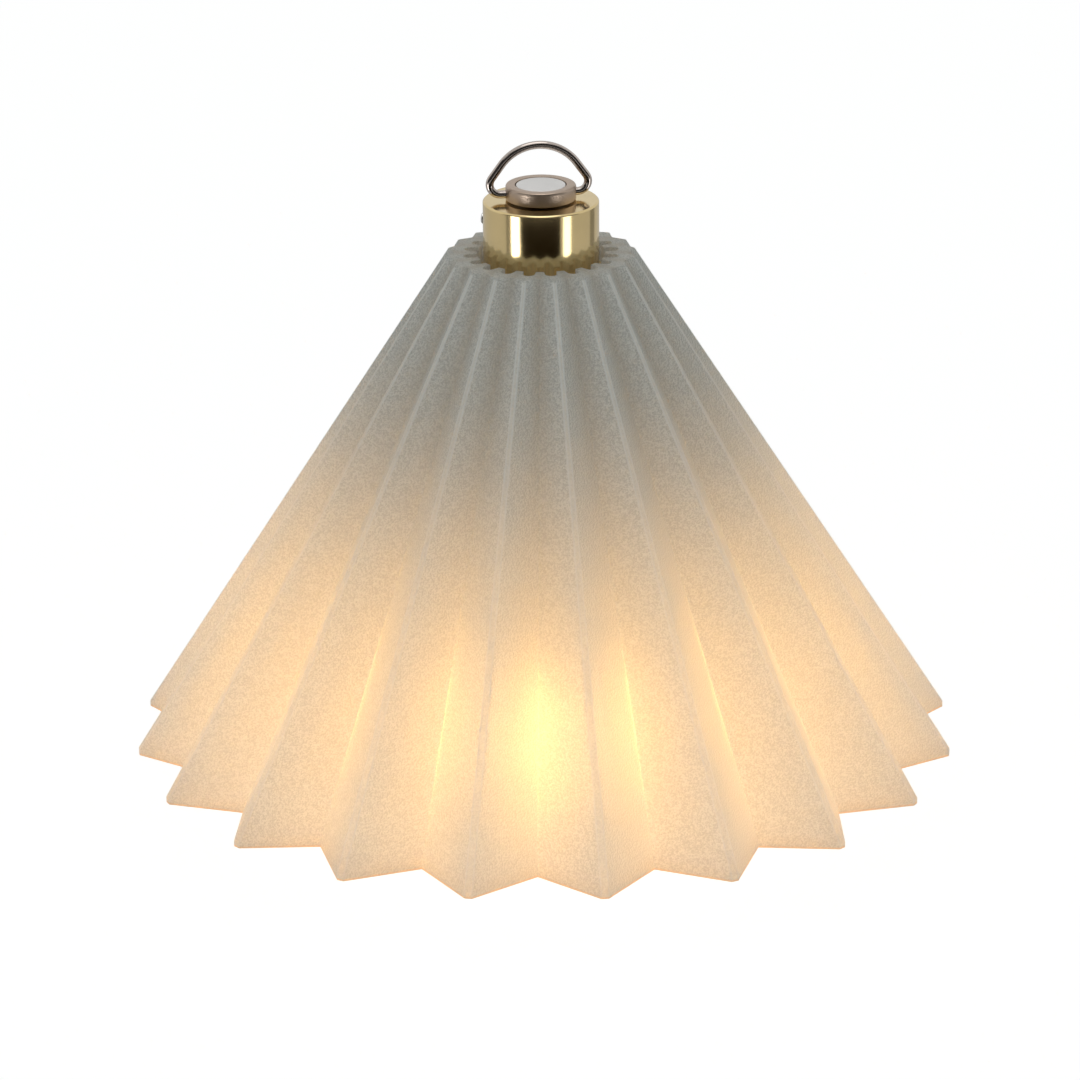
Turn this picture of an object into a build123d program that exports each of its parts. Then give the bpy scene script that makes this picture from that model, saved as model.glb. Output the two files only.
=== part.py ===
from build123d import *
import os
from math import atan2, cos, degrees, hypot, radians, sin

os.makedirs("parts", exist_ok=True)

# Small table lamp: a pleated shade of frosted resin hung over a cordless lantern.
# Millimetres. The lantern stands on z = 0, +Z is up, and the front is -Y.

# --- Shade -------------------------------------------------------------------
PLEATS = 20
HEM_RADIUS = 68.0          # crests of the pleats at the hem
HEM_VALLEY_RADIUS = 59.15
TOP_RADIUS = 15.3          # crests of the pleats at the top ring
TOP_VALLEY_RADIUS = 14.07
SHADE_HEIGHT = 83.8
HEM_Z = 11.0               # the hem hangs this far above the table
HEM_LAND = 1.0             # upright edge all round the hem
HEM_CREST = 1.2            # blunt width of a crest at the hem
TOP_CREST = 0.45
WALL = 2.0                 # measured level, square to a pleat
RING_THICK = 4.0           # flat ring that closes the top
HOLE_RADIUS = 10.4
NOTCH_WIDTH = 2.0
NOTCH_REACH = 12.65        # from the axis to the round end of a notch

# --- Cell, liner and tube, from the inside out -------------------------------
FIT = 0.05                 # radial clearance of a slip fit
EDGE = 0.2                 # small chamfers
SOFT_EDGE = 0.4            # larger chamfers and rounded edges
CELL_RADIUS = 9.15
CELL_LENGTH = 35.0
CELL_NIPPLE = 0.8
CELL_TERMINAL_RADIUS = 2.8
CELL_EDGE = 0.5
SLEEVE_WALL = 1.15
SLEEVE_BORE = CELL_RADIUS + FIT
SLEEVE_RADIUS = SLEEVE_BORE + SLEEVE_WALL
SLEEVE_GAP = 0.1
TUBE_WALL = 1.55
TUBE_BORE = SLEEVE_RADIUS + SLEEVE_GAP
TUBE_RADIUS = TUBE_BORE + TUBE_WALL
NECK_STEP = 0.4
NECK_RADIUS = TUBE_RADIUS - NECK_STEP       # threaded neck below the tube
NECK_LENGTH = 4.0

# --- Light chamber -----------------------------------------------------------
FOOT_Z = 0.8               # foot cap above the table, on its pad
FOOT_THICK = 2.6
PAD_RIM = 1.2              # metal left round the pad
PAD_RADIUS = TUBE_RADIUS - PAD_RIM
PAD_THICK = 1.6
FLANGE_STEP = 0.4
DIFFUSER_RADIUS = NECK_RADIUS - FLANGE_STEP
DIFFUSER_LENGTH = 23.2
DIFFUSER_WALL = 1.4
DIFFUSER_FLOOR = 1.5
FLANGE_THICK = 1.1
GASKET_THICK = 0.4
LENS_RING_STEP = 0.6
LENS_RING_RADIUS = TUBE_RADIUS + LENS_RING_STEP
LENS_RING_LIP = 1.6
BOSS_RADIUS = 3.0
BOSS_HEIGHT = 5.0
FOOT_SCREW_RADIUS = 1.25
FOOT_SCREW_HEAD = 2.2
FOOT_SCREW_SLOT = 0.7
BOSS_END = 1.0             # solid end of the boss over the screw
REFLECTOR_HEIGHT = 2.2
LED_BOARD_GAP = 0.1
LED_BOARD_RADIUS = DIFFUSER_RADIUS - DIFFUSER_WALL - LED_BOARD_GAP
REFLECTOR_RIM = 0.5
REFLECTOR_FLARE = 1.0
LED_BOARD_THICK = 1.0
LED_SIZE = 2.8
LED_THICK = 0.7
LED_RING_RADIUS = 4.6
LED_SCREW_X = 6.8
LED_SCREW_RADIUS = 0.8
LED_SCREW_HEAD = 1.0
LED_SCREW_HEAD_THICK = 0.6
LED_SCREW_END = 0.5        # solid metal over the screw's tip
SPREADER_THICK = 2.5

# --- Contacts, cables and electronics ----------------------------------------
CONTACT_HEIGHT = 1.5
CONTACT_LENGTH = 10.0
CONTACT_WIDTH = 3.0
CONTACT_THICK = 0.3
CABLE_WIDTH = 3.0
CABLE_THICK = 0.3
CABLE_GAP = 0.2            # free space on each side of the cable
LED_CABLE_DEPTH = 0.8      # below the outside of the liner
LED_CABLE_Y = LED_CABLE_DEPTH - SLEEVE_RADIUS
SWITCH_CABLE_Y = -2.6
POSITIVE_RADIUS = 3.2
POSITIVE_THICK = 1.0
DRIVER_GAP = 0.45
DRIVER_RADIUS = TUBE_BORE - DRIVER_GAP
DRIVER_THICK = 1.2
COIL_SIZE, COIL_HEIGHT = 3.8, 2.2
CHIP_SIZE, CHIP_HEIGHT = 2.6, 0.9
CAPACITOR_SIZE, CAPACITOR_HEIGHT = 1.2, 0.8
PARTS_INSET = 3.8          # middle of each component in from the board's edge

# --- Charging port, at the back ----------------------------------------------
SOCKET_WIDTH, SOCKET_HEIGHT, SOCKET_DEPTH = 8.94, 3.26, 7.3
SOCKET_SUNK = 0.8          # its mouth below the frame's face
SOCKET_SHELL = 0.3
SOCKET_BACK = 1.0
TONGUE_WIDTH, TONGUE_THICK, TONGUE_SUNK = 6.4, 0.7, 0.7
WINDOW_WIDTH, WINDOW_HEIGHT = 11.3, 5.6
FRAME_WIDTH, FRAME_HEIGHT = 14.8, 9.0
FRAME_PROUD = 1.2          # the frame's face beyond the tube
FRAME_CORE_DEPTH = 3.2     # how far the part in the window reaches in from the tube's outside
EAR_WIDTH = 1.2
HINGE_DROP = 0.33          # hinge axis below the frame
HINGE_PIN_RADIUS = 0.5
BARREL_RADIUS = 0.9
BARREL_GAP = 0.3
COVER_THICK = 1.2
COVER_SIDE_GAP = 0.3
COVER_TOP_GAP = 0.6        # the frame's edge that shows above the cover
COVER_CORNER = 1.0
LIP_WIDTH, LIP_HEIGHT = 5.0, 0.8

# --- Head: collar, button, magnet and bail -----------------------------------
SEAT_THICK = 0.7           # silicone ring that the shade rests on
SPIGOT_GAP = 0.5
SPIGOT_RADIUS = HOLE_RADIUS - SPIGOT_GAP    # step that centres the shade
SPIGOT_DEPTH = 2.3         # its top below the top of the shade
COLLAR_RADIUS = 9.4
COLLAR_RISE = 8.9          # above the top of the shade
COLLAR_EDGE = 0.25
COLLAR_ROOF = 2.5
COLLAR_WALL = 1.4
STEM_RADIUS = COLLAR_RADIUS - COLLAR_WALL - FIT
STEM_WALL = 1.05
STEM_BORE = STEM_RADIUS - STEM_WALL
STEM_GAP = 0.1             # from the stem up to the collar's roof
WIRE_BORE = 3.5
PLUG_RADIUS = TUBE_BORE - FIT
PLUG_DEPTH = 4.0
CAP_FLANGE = 4.1           # from the tube up to the shoulder
BOARD_SEAT_RISE = 1.0      # the switch board's seat above the spigot
SET_SCREW_RADIUS = 0.9
SET_SCREW_PROUD = 0.35
SET_SCREW_KEY = 0.4        # radius of its key hole
SET_SCREW_KEY_DEPTH = 0.8
SET_SCREW_ANGLE = -106.5   # from the front, towards -X
SET_SCREW_DROP = 3.5       # below the top of the collar
STUD_RADIUS = 5.7
STUD_RISE = 2.6            # above the collar
STUD_EDGE = 0.35
BUTTON_TRAVEL = 0.25       # also the gap under the stud's head
SHANK_RADIUS = 2.5
SHANK_CLEARANCE = 0.08
CLIP_THICK = 0.6
CLIP_RADIUS = 3.7
CLIP_GROOVE = 2.0
CLIP_MOUTH = 3.2
MAGNET_RADIUS = 4.03
MAGNET_THICK = 1.5
MAGNET_SUNK = 0.05
MAGNET_EDGE = 0.12
POCKET_GAP = 0.14
POCKET_RADIUS = MAGNET_RADIUS + POCKET_GAP
SWITCH_BOARD_GAP = 0.1
SWITCH_BOARD_RADIUS = STEM_BORE - SWITCH_BOARD_GAP
SWITCH_BOARD_THICK = 1.0
SWITCH_SIZE = 6.0
SWITCH_HEIGHT = 3.3
PLUNGER_RADIUS = 1.7
PLUNGER_LENGTH = 3.2
PLUNGER_RISE = 0.8         # above the switch, unpressed

WIRE_RADIUS = 0.65
PIVOT_RISE = 1.15          # above the collar
EYE_CLEARANCE = 0.05       # between the wire and its holes in the stud
EYE_WALL = 0.28            # metal between the holes and the magnet's pocket
EYE_END = POCKET_RADIUS + EYE_WALL
BAIL_ARCH_RADIUS = 7.5
BAIL_ARCH_ANGLE = 54.0     # each side of the top
BAIL_HEIGHT = 8.0          # pivot to the wire's centre line at the top
BAIL_CORNER_RADIUS = 1.7
BAIL_GRIP = 0.8            # how far each end of the wire reaches into its hole
BAIL_WIRE_END = STUD_RADIUS - BAIL_GRIP
BAIL_SIDE_SHIFT = -0.3     # the loose wire has slid this way in its holes

# --- Heights that follow -----------------------------------------------------
SHADE_TOP_Z = HEM_Z + SHADE_HEIGHT
RING_Z = SHADE_TOP_Z - RING_THICK
SHOULDER_Z = RING_Z - SEAT_THICK
SPIGOT_TOP_Z = SHADE_TOP_Z - SPIGOT_DEPTH
COLLAR_TOP_Z = SHADE_TOP_Z + COLLAR_RISE
ROOF_Z = COLLAR_TOP_Z - COLLAR_ROOF
STEM_TOP_Z = ROOF_Z - STEM_GAP
STUD_TOP_Z = COLLAR_TOP_Z + STUD_RISE
STUD_HEAD_Z = COLLAR_TOP_Z + BUTTON_TRAVEL
PIVOT_Z = COLLAR_TOP_Z + PIVOT_RISE
BOARD_SEAT_Z = SPIGOT_TOP_Z + BOARD_SEAT_RISE
SWITCH_Z = BOARD_SEAT_Z + SWITCH_BOARD_THICK
SHANK_FOOT_Z = SWITCH_Z + SWITCH_HEIGHT + PLUNGER_RISE
TUBE_TOP_Z = SHOULDER_Z - CAP_FLANGE
DIFFUSER_Z = FOOT_Z + FOOT_THICK
DIFFUSER_TOP_Z = DIFFUSER_Z + DIFFUSER_LENGTH
TUBE_Z = DIFFUSER_TOP_Z + GASKET_THICK      # lower end of the neck
FLANGE_Z = DIFFUSER_TOP_Z - FLANGE_THICK
BOSS_TOP_Z = DIFFUSER_Z + DIFFUSER_FLOOR + BOSS_HEIGHT
LED_BOARD_Z = TUBE_Z - LED_BOARD_THICK
SPREADER_TOP_Z = TUBE_Z + SPREADER_THICK
CELL_Z = SPREADER_TOP_Z + CONTACT_HEIGHT
DRIVER_Z = CELL_Z + CELL_LENGTH + POSITIVE_THICK
DRIVER_TOP_Z = DRIVER_Z + DRIVER_THICK
PORT_Z = DRIVER_TOP_Z + SOCKET_HEIGHT / 2
FRAME_Z = PORT_Z - FRAME_HEIGHT / 2
FRAME_CORE_Y = TUBE_RADIUS - FRAME_CORE_DEPTH
FRAME_FACE_Y = TUBE_RADIUS + FRAME_PROUD
SOCKET_MOUTH_Y = FRAME_FACE_Y - SOCKET_SUNK
HINGE_Y = FRAME_FACE_Y + BARREL_GAP + BARREL_RADIUS
HINGE_Z = FRAME_Z - HINGE_DROP


def cylinder(radius, z, top, x=0.0, y=0.0):
    """Upright cylinder between two heights."""
    return Pos(x, y, z) * Cylinder(radius, top - z, align=(Align.CENTER, Align.CENTER, Align.MIN))


def tube(outer, inner, z, top):
    """Upright ring between two heights."""
    return cylinder(outer, z, top) - cylinder(inner, z, top)


def block(x0, x1, y0, y1, z0, z1):
    """Box between two corners."""
    centre = Pos((x0 + x1) / 2, (y0 + y1) / 2, (z0 + z1) / 2)
    return centre * Box(x1 - x0, y1 - y0, z1 - z0)


def rod_x(radius, x0, x1, y, z):
    """Level cylinder along X."""
    return Pos((x0 + x1) / 2, y, z) * Rot(0, 90, 0) * Cylinder(radius, x1 - x0)


def circular_edges(shape, z, radius):
    """Round edges of one radius at one height."""
    return [
        edge for edge in shape.edges().filter_by(GeomType.CIRCLE)
        if abs(edge.center().Z - z) < 1e-3 and abs(edge.radius - radius) < 1e-3
    ]


# --- Shade -------------------------------------------------------------------
def polar(radius, angle):
    """Point at an angle from the front, towards +X."""
    return radius * sin(radians(angle)), -radius * cos(radians(angle))


def at_height(low, high, z):
    """Value at height z of a line from the hem's land up to the top of the shade."""
    share = max(0.0, z - HEM_Z - HEM_LAND) / (SHADE_HEIGHT - HEM_LAND)
    return low + (high - low) * share


def outer_outline(z):
    """Outline of the pleats with a blunt crest at each pleat and a sharp valley between."""
    crest = at_height(HEM_RADIUS, TOP_RADIUS, z)
    valley = at_height(HEM_VALLEY_RADIUS, TOP_VALLEY_RADIUS, z)
    half = degrees(at_height(HEM_CREST, TOP_CREST, z) / 2 / crest)
    pitch = 360 / PLEATS
    points = []
    for pleat in range(PLEATS):
        angle = pleat * pitch
        points += [polar(crest, angle - half), polar(crest, angle + half)]
        points += [polar(valley, angle + pitch / 2)]
    return outline_face(points, z)


def inner_outline(z):
    """Outline of the inside, one wall thickness in from each pleat's faces."""
    crest = at_height(HEM_RADIUS, TOP_RADIUS, z)
    valley = at_height(HEM_VALLEY_RADIUS, TOP_VALLEY_RADIUS, z)
    x, y = polar(valley, 180 / PLEATS)
    inset = WALL * hypot(x, crest + y) / x
    points = []
    for pleat in range(PLEATS):
        angle = pleat * 360 / PLEATS
        points += [polar(crest - inset, angle), polar(valley - inset, angle + 180 / PLEATS)]
    return outline_face(points, z)


def outline_face(points, z):
    """Flat face inside a closed outline."""
    return make_face(Polyline(*[(x, y, z) for x, y in points], close=True))


def pleated_solid(outline, top):
    """Solid under an outline: upright along the hem's land, then straight to the top."""
    land = HEM_Z + HEM_LAND
    foot = extrude(outline(HEM_Z), HEM_LAND, dir=(0, 0, 1))
    return foot + loft([outline(land), outline(top)], ruled=True)


def notch(angle):
    """One round-ended notch of the hole in the top ring."""
    end = NOTCH_REACH - NOTCH_WIDTH / 2
    cut = block(-NOTCH_WIDTH / 2, NOTCH_WIDTH / 2, -end, 0, RING_Z, SHADE_TOP_Z)
    cut += cylinder(NOTCH_WIDTH / 2, RING_Z, SHADE_TOP_Z, 0, -end)
    return Rot(0, 0, angle) * cut


def shade():
    """Pleated cone with a notched ring at the top."""
    body = pleated_solid(outer_outline, SHADE_TOP_Z) - pleated_solid(inner_outline, RING_Z)
    hole = cylinder(HOLE_RADIUS, RING_Z, SHADE_TOP_Z)
    for pleat in range(PLEATS):
        hole += notch(pleat * 360 / PLEATS)
    return body - hole


def seat_ring():
    """Soft ring on the shoulder, under the shade."""
    return tube(TUBE_RADIUS, SPIGOT_RADIUS, SHOULDER_Z, RING_Z)


# --- Foot and light chamber --------------------------------------------------
def foot_pad():
    """Soft disc that the lamp stands on."""
    return cylinder(PAD_RADIUS, 0, PAD_THICK)


def foot_cap():
    """Metal foot with a recess for the pad and a countersink for the screw."""
    body = cylinder(TUBE_RADIUS, FOOT_Z, DIFFUSER_Z)
    body = chamfer(circular_edges(body, FOOT_Z, TUBE_RADIUS), SOFT_EDGE)
    body = fillet(circular_edges(body, DIFFUSER_Z, TUBE_RADIUS), SOFT_EDGE)
    body -= cylinder(PAD_RADIUS + FIT, FOOT_Z, PAD_THICK)
    return body - foot_screw_shape(FIT)


def foot_screw_shape(gap):
    """Countersunk screw, or with a gap the hole for it."""
    head = FOOT_SCREW_HEAD - FOOT_SCREW_RADIUS
    cone = Cone(FOOT_SCREW_HEAD + gap, FOOT_SCREW_RADIUS + gap, head)
    shank = cylinder(FOOT_SCREW_RADIUS + gap, PAD_THICK, BOSS_TOP_Z - BOSS_END)
    return Pos(0, 0, PAD_THICK + head / 2) * cone + shank


def foot_screw():
    """Screw that holds the foot to the diffuser."""
    return foot_screw_shape(0) - cylinder(FOOT_SCREW_SLOT, PAD_THICK, PAD_THICK + FOOT_SCREW_SLOT)


def diffuser():
    """Frosted cup with a flange at the top and a screw boss in its floor."""
    floor_top = DIFFUSER_Z + DIFFUSER_FLOOR
    cup = cylinder(DIFFUSER_RADIUS, DIFFUSER_Z, DIFFUSER_TOP_Z)
    cup += cylinder(NECK_RADIUS, FLANGE_Z, DIFFUSER_TOP_Z)
    cup -= cylinder(DIFFUSER_RADIUS - DIFFUSER_WALL, floor_top, DIFFUSER_TOP_Z)
    cup += cylinder(BOSS_RADIUS, floor_top, BOSS_TOP_Z)
    return cup - cylinder(FOOT_SCREW_RADIUS + FIT, DIFFUSER_Z, BOSS_TOP_Z - BOSS_END)


def lens_ring():
    """Screwed ring that clamps the diffuser's flange to the neck of the tube."""
    top = TUBE_Z + NECK_LENGTH
    low = FLANGE_Z - LENS_RING_LIP
    ring = cylinder(LENS_RING_RADIUS, low, top)
    ring = chamfer(circular_edges(ring, low, LENS_RING_RADIUS), SOFT_EDGE)
    ring = chamfer(circular_edges(ring, top, LENS_RING_RADIUS), EDGE)
    ring -= cylinder(DIFFUSER_RADIUS + FIT, low, FLANGE_Z)
    return ring - cylinder(NECK_RADIUS + FIT, FLANGE_Z, top)


def lens_gasket():
    """Flat seal between the flange and the neck."""
    return tube(NECK_RADIUS, DIFFUSER_RADIUS - DIFFUSER_WALL + EDGE, DIFFUSER_TOP_Z, TUBE_Z)


def reflector():
    """White ring that flares out below the light board."""
    mouth = LED_BOARD_RADIUS - REFLECTOR_RIM
    flare = Cone(mouth, mouth - REFLECTOR_FLARE, REFLECTOR_HEIGHT)
    ring = cylinder(LED_BOARD_RADIUS, LED_BOARD_Z - REFLECTOR_HEIGHT, LED_BOARD_Z)
    return ring - Pos(0, 0, LED_BOARD_Z - REFLECTOR_HEIGHT / 2) * flare


def led_board():
    """Round metal-core board with two screw holes."""
    board = cylinder(LED_BOARD_RADIUS, LED_BOARD_Z, TUBE_Z)
    for x in (-LED_SCREW_X, LED_SCREW_X):
        board -= cylinder(LED_SCREW_RADIUS + FIT, LED_BOARD_Z, TUBE_Z, x)
    return board


def led_chips():
    """Seven light chips on the underside of the board."""
    half = LED_SIZE / 2
    chip = block(-half, half, -half, half, LED_BOARD_Z - LED_THICK, LED_BOARD_Z)
    places = [Pos(0, 0, 0)]
    for place in range(6):
        x, y = polar(LED_RING_RADIUS, 30 + 60 * place)
        places.append(Pos(y, x, 0))
    return Compound([place * chip for place in places])


def led_screw(side):
    """Screw that holds the light board to the heat spreader, left (-1) or right (1)."""
    x = side * LED_SCREW_X
    head = cylinder(LED_SCREW_HEAD, LED_BOARD_Z - LED_SCREW_HEAD_THICK, LED_BOARD_Z, x)
    return head + cylinder(LED_SCREW_RADIUS, LED_BOARD_Z, SPREADER_TOP_Z - LED_SCREW_END, x)


def heat_spreader():
    """Thick disc in the foot of the tube, notched for the light cable."""
    disc = cylinder(TUBE_BORE - FIT, TUBE_Z, SPREADER_TOP_Z)
    for x in (-LED_SCREW_X, LED_SCREW_X):
        disc -= cylinder(LED_SCREW_RADIUS + FIT, TUBE_Z, SPREADER_TOP_Z - LED_SCREW_END, x)
    return disc - cable_channel(TUBE_Z, SPREADER_TOP_Z)


def cable_channel(z, top):
    """Slot that the light cable runs in."""
    half = CABLE_WIDTH / 2 + CABLE_GAP
    deep = CABLE_THICK / 2 + CABLE_GAP
    return block(-half, half, LED_CABLE_Y - deep, LED_CABLE_Y + deep + CABLE_GAP, z, top)


# --- Tube, cell and electronics ----------------------------------------------
def battery_tube():
    """Body of the lantern, with a window for the charging port."""
    body = cylinder(TUBE_RADIUS, TUBE_Z + NECK_LENGTH, TUBE_TOP_Z)
    body = chamfer(circular_edges(body, TUBE_TOP_Z, TUBE_RADIUS), EDGE)
    body += cylinder(NECK_RADIUS, TUBE_Z, TUBE_Z + NECK_LENGTH)
    body -= cylinder(TUBE_BORE, TUBE_Z, TUBE_TOP_Z)
    half_x, half_z = WINDOW_WIDTH / 2, WINDOW_HEIGHT / 2
    return body - block(-half_x, half_x, 0, TUBE_RADIUS, PORT_Z - half_z, PORT_Z + half_z)


def battery_cell():
    """Rechargeable cell, with its raised terminal at the top."""
    can_top = CELL_Z + CELL_LENGTH - CELL_NIPPLE
    can = cylinder(CELL_RADIUS, CELL_Z, can_top)
    can = fillet(can.edges().filter_by(GeomType.CIRCLE), CELL_EDGE)
    return can + cylinder(CELL_TERMINAL_RADIUS, can_top, CELL_Z + CELL_LENGTH)


def cell_sleeve():
    """Insulating liner between the cell and the tube, with a channel for the light cable."""
    sleeve = tube(SLEEVE_RADIUS, SLEEVE_BORE, SPREADER_TOP_Z, DRIVER_Z)
    return sleeve - cable_channel(SPREADER_TOP_Z, DRIVER_Z)


def negative_contact():
    """Bent spring strip between the heat spreader and the cell."""
    x, y, z, top = CONTACT_LENGTH / 2, CONTACT_WIDTH / 2, SPREADER_TOP_Z, CELL_Z
    strip = block(-x, x, -y, y, z, z + CONTACT_THICK)
    strip += block(x - CONTACT_THICK, x, -y, y, z, top)
    return strip + block(-x, x, -y, y, top - CONTACT_THICK, top)


def positive_contact():
    """Pad under the driver board that meets the cell's terminal."""
    return cylinder(POSITIVE_RADIUS, CELL_Z + CELL_LENGTH, DRIVER_Z)


def led_cable():
    """Flat cable from the driver board down to the light board."""
    half, thick = CABLE_WIDTH / 2, CABLE_THICK / 2
    return block(-half, half, LED_CABLE_Y - thick, LED_CABLE_Y + thick, TUBE_Z, DRIVER_Z)


def driver_board():
    """Round board with the charger and the dimmer."""
    return cylinder(DRIVER_RADIUS, DRIVER_Z, DRIVER_TOP_Z)


def driver_parts():
    """Coil, two chips and three capacitors on the driver board."""
    coil = board_part(COIL_SIZE, COIL_HEIGHT, -60)
    coil = fillet(coil.edges().filter_by(Axis.Z), SOFT_EDGE)
    chips = [board_part(CHIP_SIZE, CHIP_HEIGHT, angle) for angle in (60, -112)]
    capacitors = [board_part(CAPACITOR_SIZE, CAPACITOR_HEIGHT, angle) for angle in (-18, 0, 18)]
    return Compound([coil, *chips, *capacitors])


def board_part(size, height, angle):
    """Square component on the driver board, at an angle from the front."""
    x, y = polar(DRIVER_RADIUS - PARTS_INSET, angle)
    half = size / 2
    return block(x - half, x + half, y - half, y + half, DRIVER_TOP_Z, DRIVER_TOP_Z + height)


def charge_socket():
    """Oval metal shell with a contact tongue inside, on the driver board."""
    back = SOCKET_MOUTH_Y - SOCKET_DEPTH
    shell = socket_shape(0, back, SOCKET_MOUTH_Y)
    shell -= socket_shape(-SOCKET_SHELL, back + SOCKET_BACK, SOCKET_MOUTH_Y)
    x, z = TONGUE_WIDTH / 2, TONGUE_THICK / 2
    return shell + block(-x, x, back, SOCKET_MOUTH_Y - TONGUE_SUNK, PORT_Z - z, PORT_Z + z)


def socket_shape(grow, back, mouth):
    """Round-ended bar along Y in the outline of the socket, grown all round."""
    radius = SOCKET_HEIGHT / 2 + grow
    half = SOCKET_WIDTH / 2 - SOCKET_HEIGHT / 2
    middle, depth = (back + mouth) / 2, mouth - back
    bar = block(-half, half, back, mouth, PORT_Z - radius, PORT_Z + radius)
    for x in (-half, half):
        bar += Pos(x, middle, PORT_Z) * Rot(90, 0, 0) * Cylinder(radius, depth)
    return bar


def port_frame():
    """Saddle on the tube that carries the socket's mouth and the ears of the hinge."""
    half = FRAME_WIDTH / 2
    saddle = block(-half, half, 0, FRAME_FACE_Y, FRAME_Z, FRAME_Z + FRAME_HEIGHT)
    saddle -= cylinder(TUBE_RADIUS, FRAME_Z, FRAME_Z + FRAME_HEIGHT)
    core_x, core_z = WINDOW_WIDTH / 2 - FIT, WINDOW_HEIGHT / 2 - FIT
    core = block(-core_x, core_x, FRAME_CORE_Y, FRAME_FACE_Y, PORT_Z - core_z, PORT_Z + core_z)
    frame = saddle + (core - cylinder(DRIVER_RADIUS, DRIVER_Z, DRIVER_TOP_Z))
    frame += hinge_ear(-half, -half + EAR_WIDTH) + hinge_ear(half - EAR_WIDTH, half)
    frame -= socket_shape(FIT, FRAME_CORE_Y, FRAME_FACE_Y)
    return frame - rod_x(HINGE_PIN_RADIUS, -half, half, HINGE_Y, HINGE_Z)


def hinge_ear(x0, x1):
    """Lug at one lower corner of the frame's face."""
    low, top = HINGE_Z - BARREL_RADIUS, FRAME_Z + BARREL_RADIUS
    web = block(x0, x1, FRAME_FACE_Y - EAR_WIDTH, HINGE_Y, low, top)
    return web + rod_x(BARREL_RADIUS, x0, x1, HINGE_Y, HINGE_Z)


def port_hinge_pin():
    """Pin that the port's cover turns on."""
    return rod_x(HINGE_PIN_RADIUS, -FRAME_WIDTH / 2, FRAME_WIDTH / 2, HINGE_Y, HINGE_Z)


def port_cover():
    """Flap over the port, with a barrel round the pin and a lip to open it by."""
    half = FRAME_WIDTH / 2 - EAR_WIDTH - COVER_SIDE_GAP
    top = FRAME_Z + FRAME_HEIGHT - COVER_TOP_GAP
    face = FRAME_FACE_Y + COVER_THICK
    plate = block(-half, half, FRAME_FACE_Y, face, HINGE_Z + HINGE_PIN_RADIUS + FIT, top)
    plate = fillet(plate.edges().filter_by(Axis.Y).group_by(Axis.Z)[-1], COVER_CORNER)
    lip_top = top - EDGE
    lip = block(-LIP_WIDTH / 2, LIP_WIDTH / 2, face, face + LIP_HEIGHT, lip_top - LIP_HEIGHT, lip_top)
    barrel = rod_x(BARREL_RADIUS, -half, half, HINGE_Y, HINGE_Z)
    return plate + lip + barrel - rod_x(HINGE_PIN_RADIUS + FIT, -half, half, HINGE_Y, HINGE_Z)


# --- Head --------------------------------------------------------------------
def body_cap():
    """Cap of the tube: a plug below, the shade's shoulder and spigot, and the stem for the collar."""
    cap = cylinder(TUBE_RADIUS, TUBE_TOP_Z, SHOULDER_Z)
    cap = chamfer(circular_edges(cap, TUBE_TOP_Z, TUBE_RADIUS), EDGE)
    cap += cylinder(PLUG_RADIUS, TUBE_TOP_Z - PLUG_DEPTH, TUBE_TOP_Z)
    cap += cylinder(SPIGOT_RADIUS, SHOULDER_Z, SPIGOT_TOP_Z)
    cap += cylinder(STEM_RADIUS, SPIGOT_TOP_Z, STEM_TOP_Z)
    cap -= cylinder(STEM_BORE, BOARD_SEAT_Z, STEM_TOP_Z)
    return cap - cylinder(WIRE_BORE, TUBE_TOP_Z - PLUG_DEPTH, BOARD_SEAT_Z)


def switch_cable():
    """Flat cable from the driver board up to the switch board."""
    half, thick = CABLE_WIDTH / 2, CABLE_THICK / 2
    y = SWITCH_CABLE_Y
    return block(-half, half, y - thick, y + thick, DRIVER_TOP_Z, BOARD_SEAT_Z)


def switch_board():
    """Small round board under the push switch."""
    return cylinder(SWITCH_BOARD_RADIUS, BOARD_SEAT_Z, SWITCH_Z)


def tact_switch():
    """Push switch with a well for its plunger."""
    half = SWITCH_SIZE / 2
    top = SWITCH_Z + SWITCH_HEIGHT
    well = SHANK_FOOT_Z - PLUNGER_LENGTH - BUTTON_TRAVEL - FIT
    body = block(-half, half, -half, half, SWITCH_Z, top)
    return body - cylinder(PLUNGER_RADIUS + FIT, well, top)


def head_collar():
    """Polished collar screwed over the stem, with a bore for the button's shank."""
    body = cylinder(COLLAR_RADIUS, SPIGOT_TOP_Z, COLLAR_TOP_Z)
    body = chamfer(circular_edges(body, COLLAR_TOP_Z, COLLAR_RADIUS), COLLAR_EDGE)
    body -= cylinder(STEM_RADIUS + FIT, SPIGOT_TOP_Z, ROOF_Z)
    body -= cylinder(SHANK_RADIUS + SHANK_CLEARANCE, ROOF_Z, COLLAR_TOP_Z)
    return body - set_screw_rod(SET_SCREW_RADIUS, STEM_BORE, COLLAR_RADIUS + SET_SCREW_RADIUS)


def set_screw_rod(radius, start, end):
    """Level cylinder that points out from the axis at the set screw's place."""
    x, y = polar((start + end) / 2, SET_SCREW_ANGLE)
    turn = Rot(0, 0, degrees(atan2(y, x))) * Rot(0, 90, 0)
    return Pos(x, y, COLLAR_TOP_Z - SET_SCREW_DROP) * turn * Cylinder(radius, end - start)


def collar_set_screw():
    """Headless screw that locks the collar; its outer end stands a little proud."""
    end = COLLAR_RADIUS + SET_SCREW_PROUD
    rod = set_screw_rod(SET_SCREW_RADIUS, STEM_RADIUS, end)
    rod = chamfer(rod.edges().filter_by(GeomType.CIRCLE), EDGE)
    return rod - set_screw_rod(SET_SCREW_KEY, end - SET_SCREW_KEY_DEPTH, end)


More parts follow.
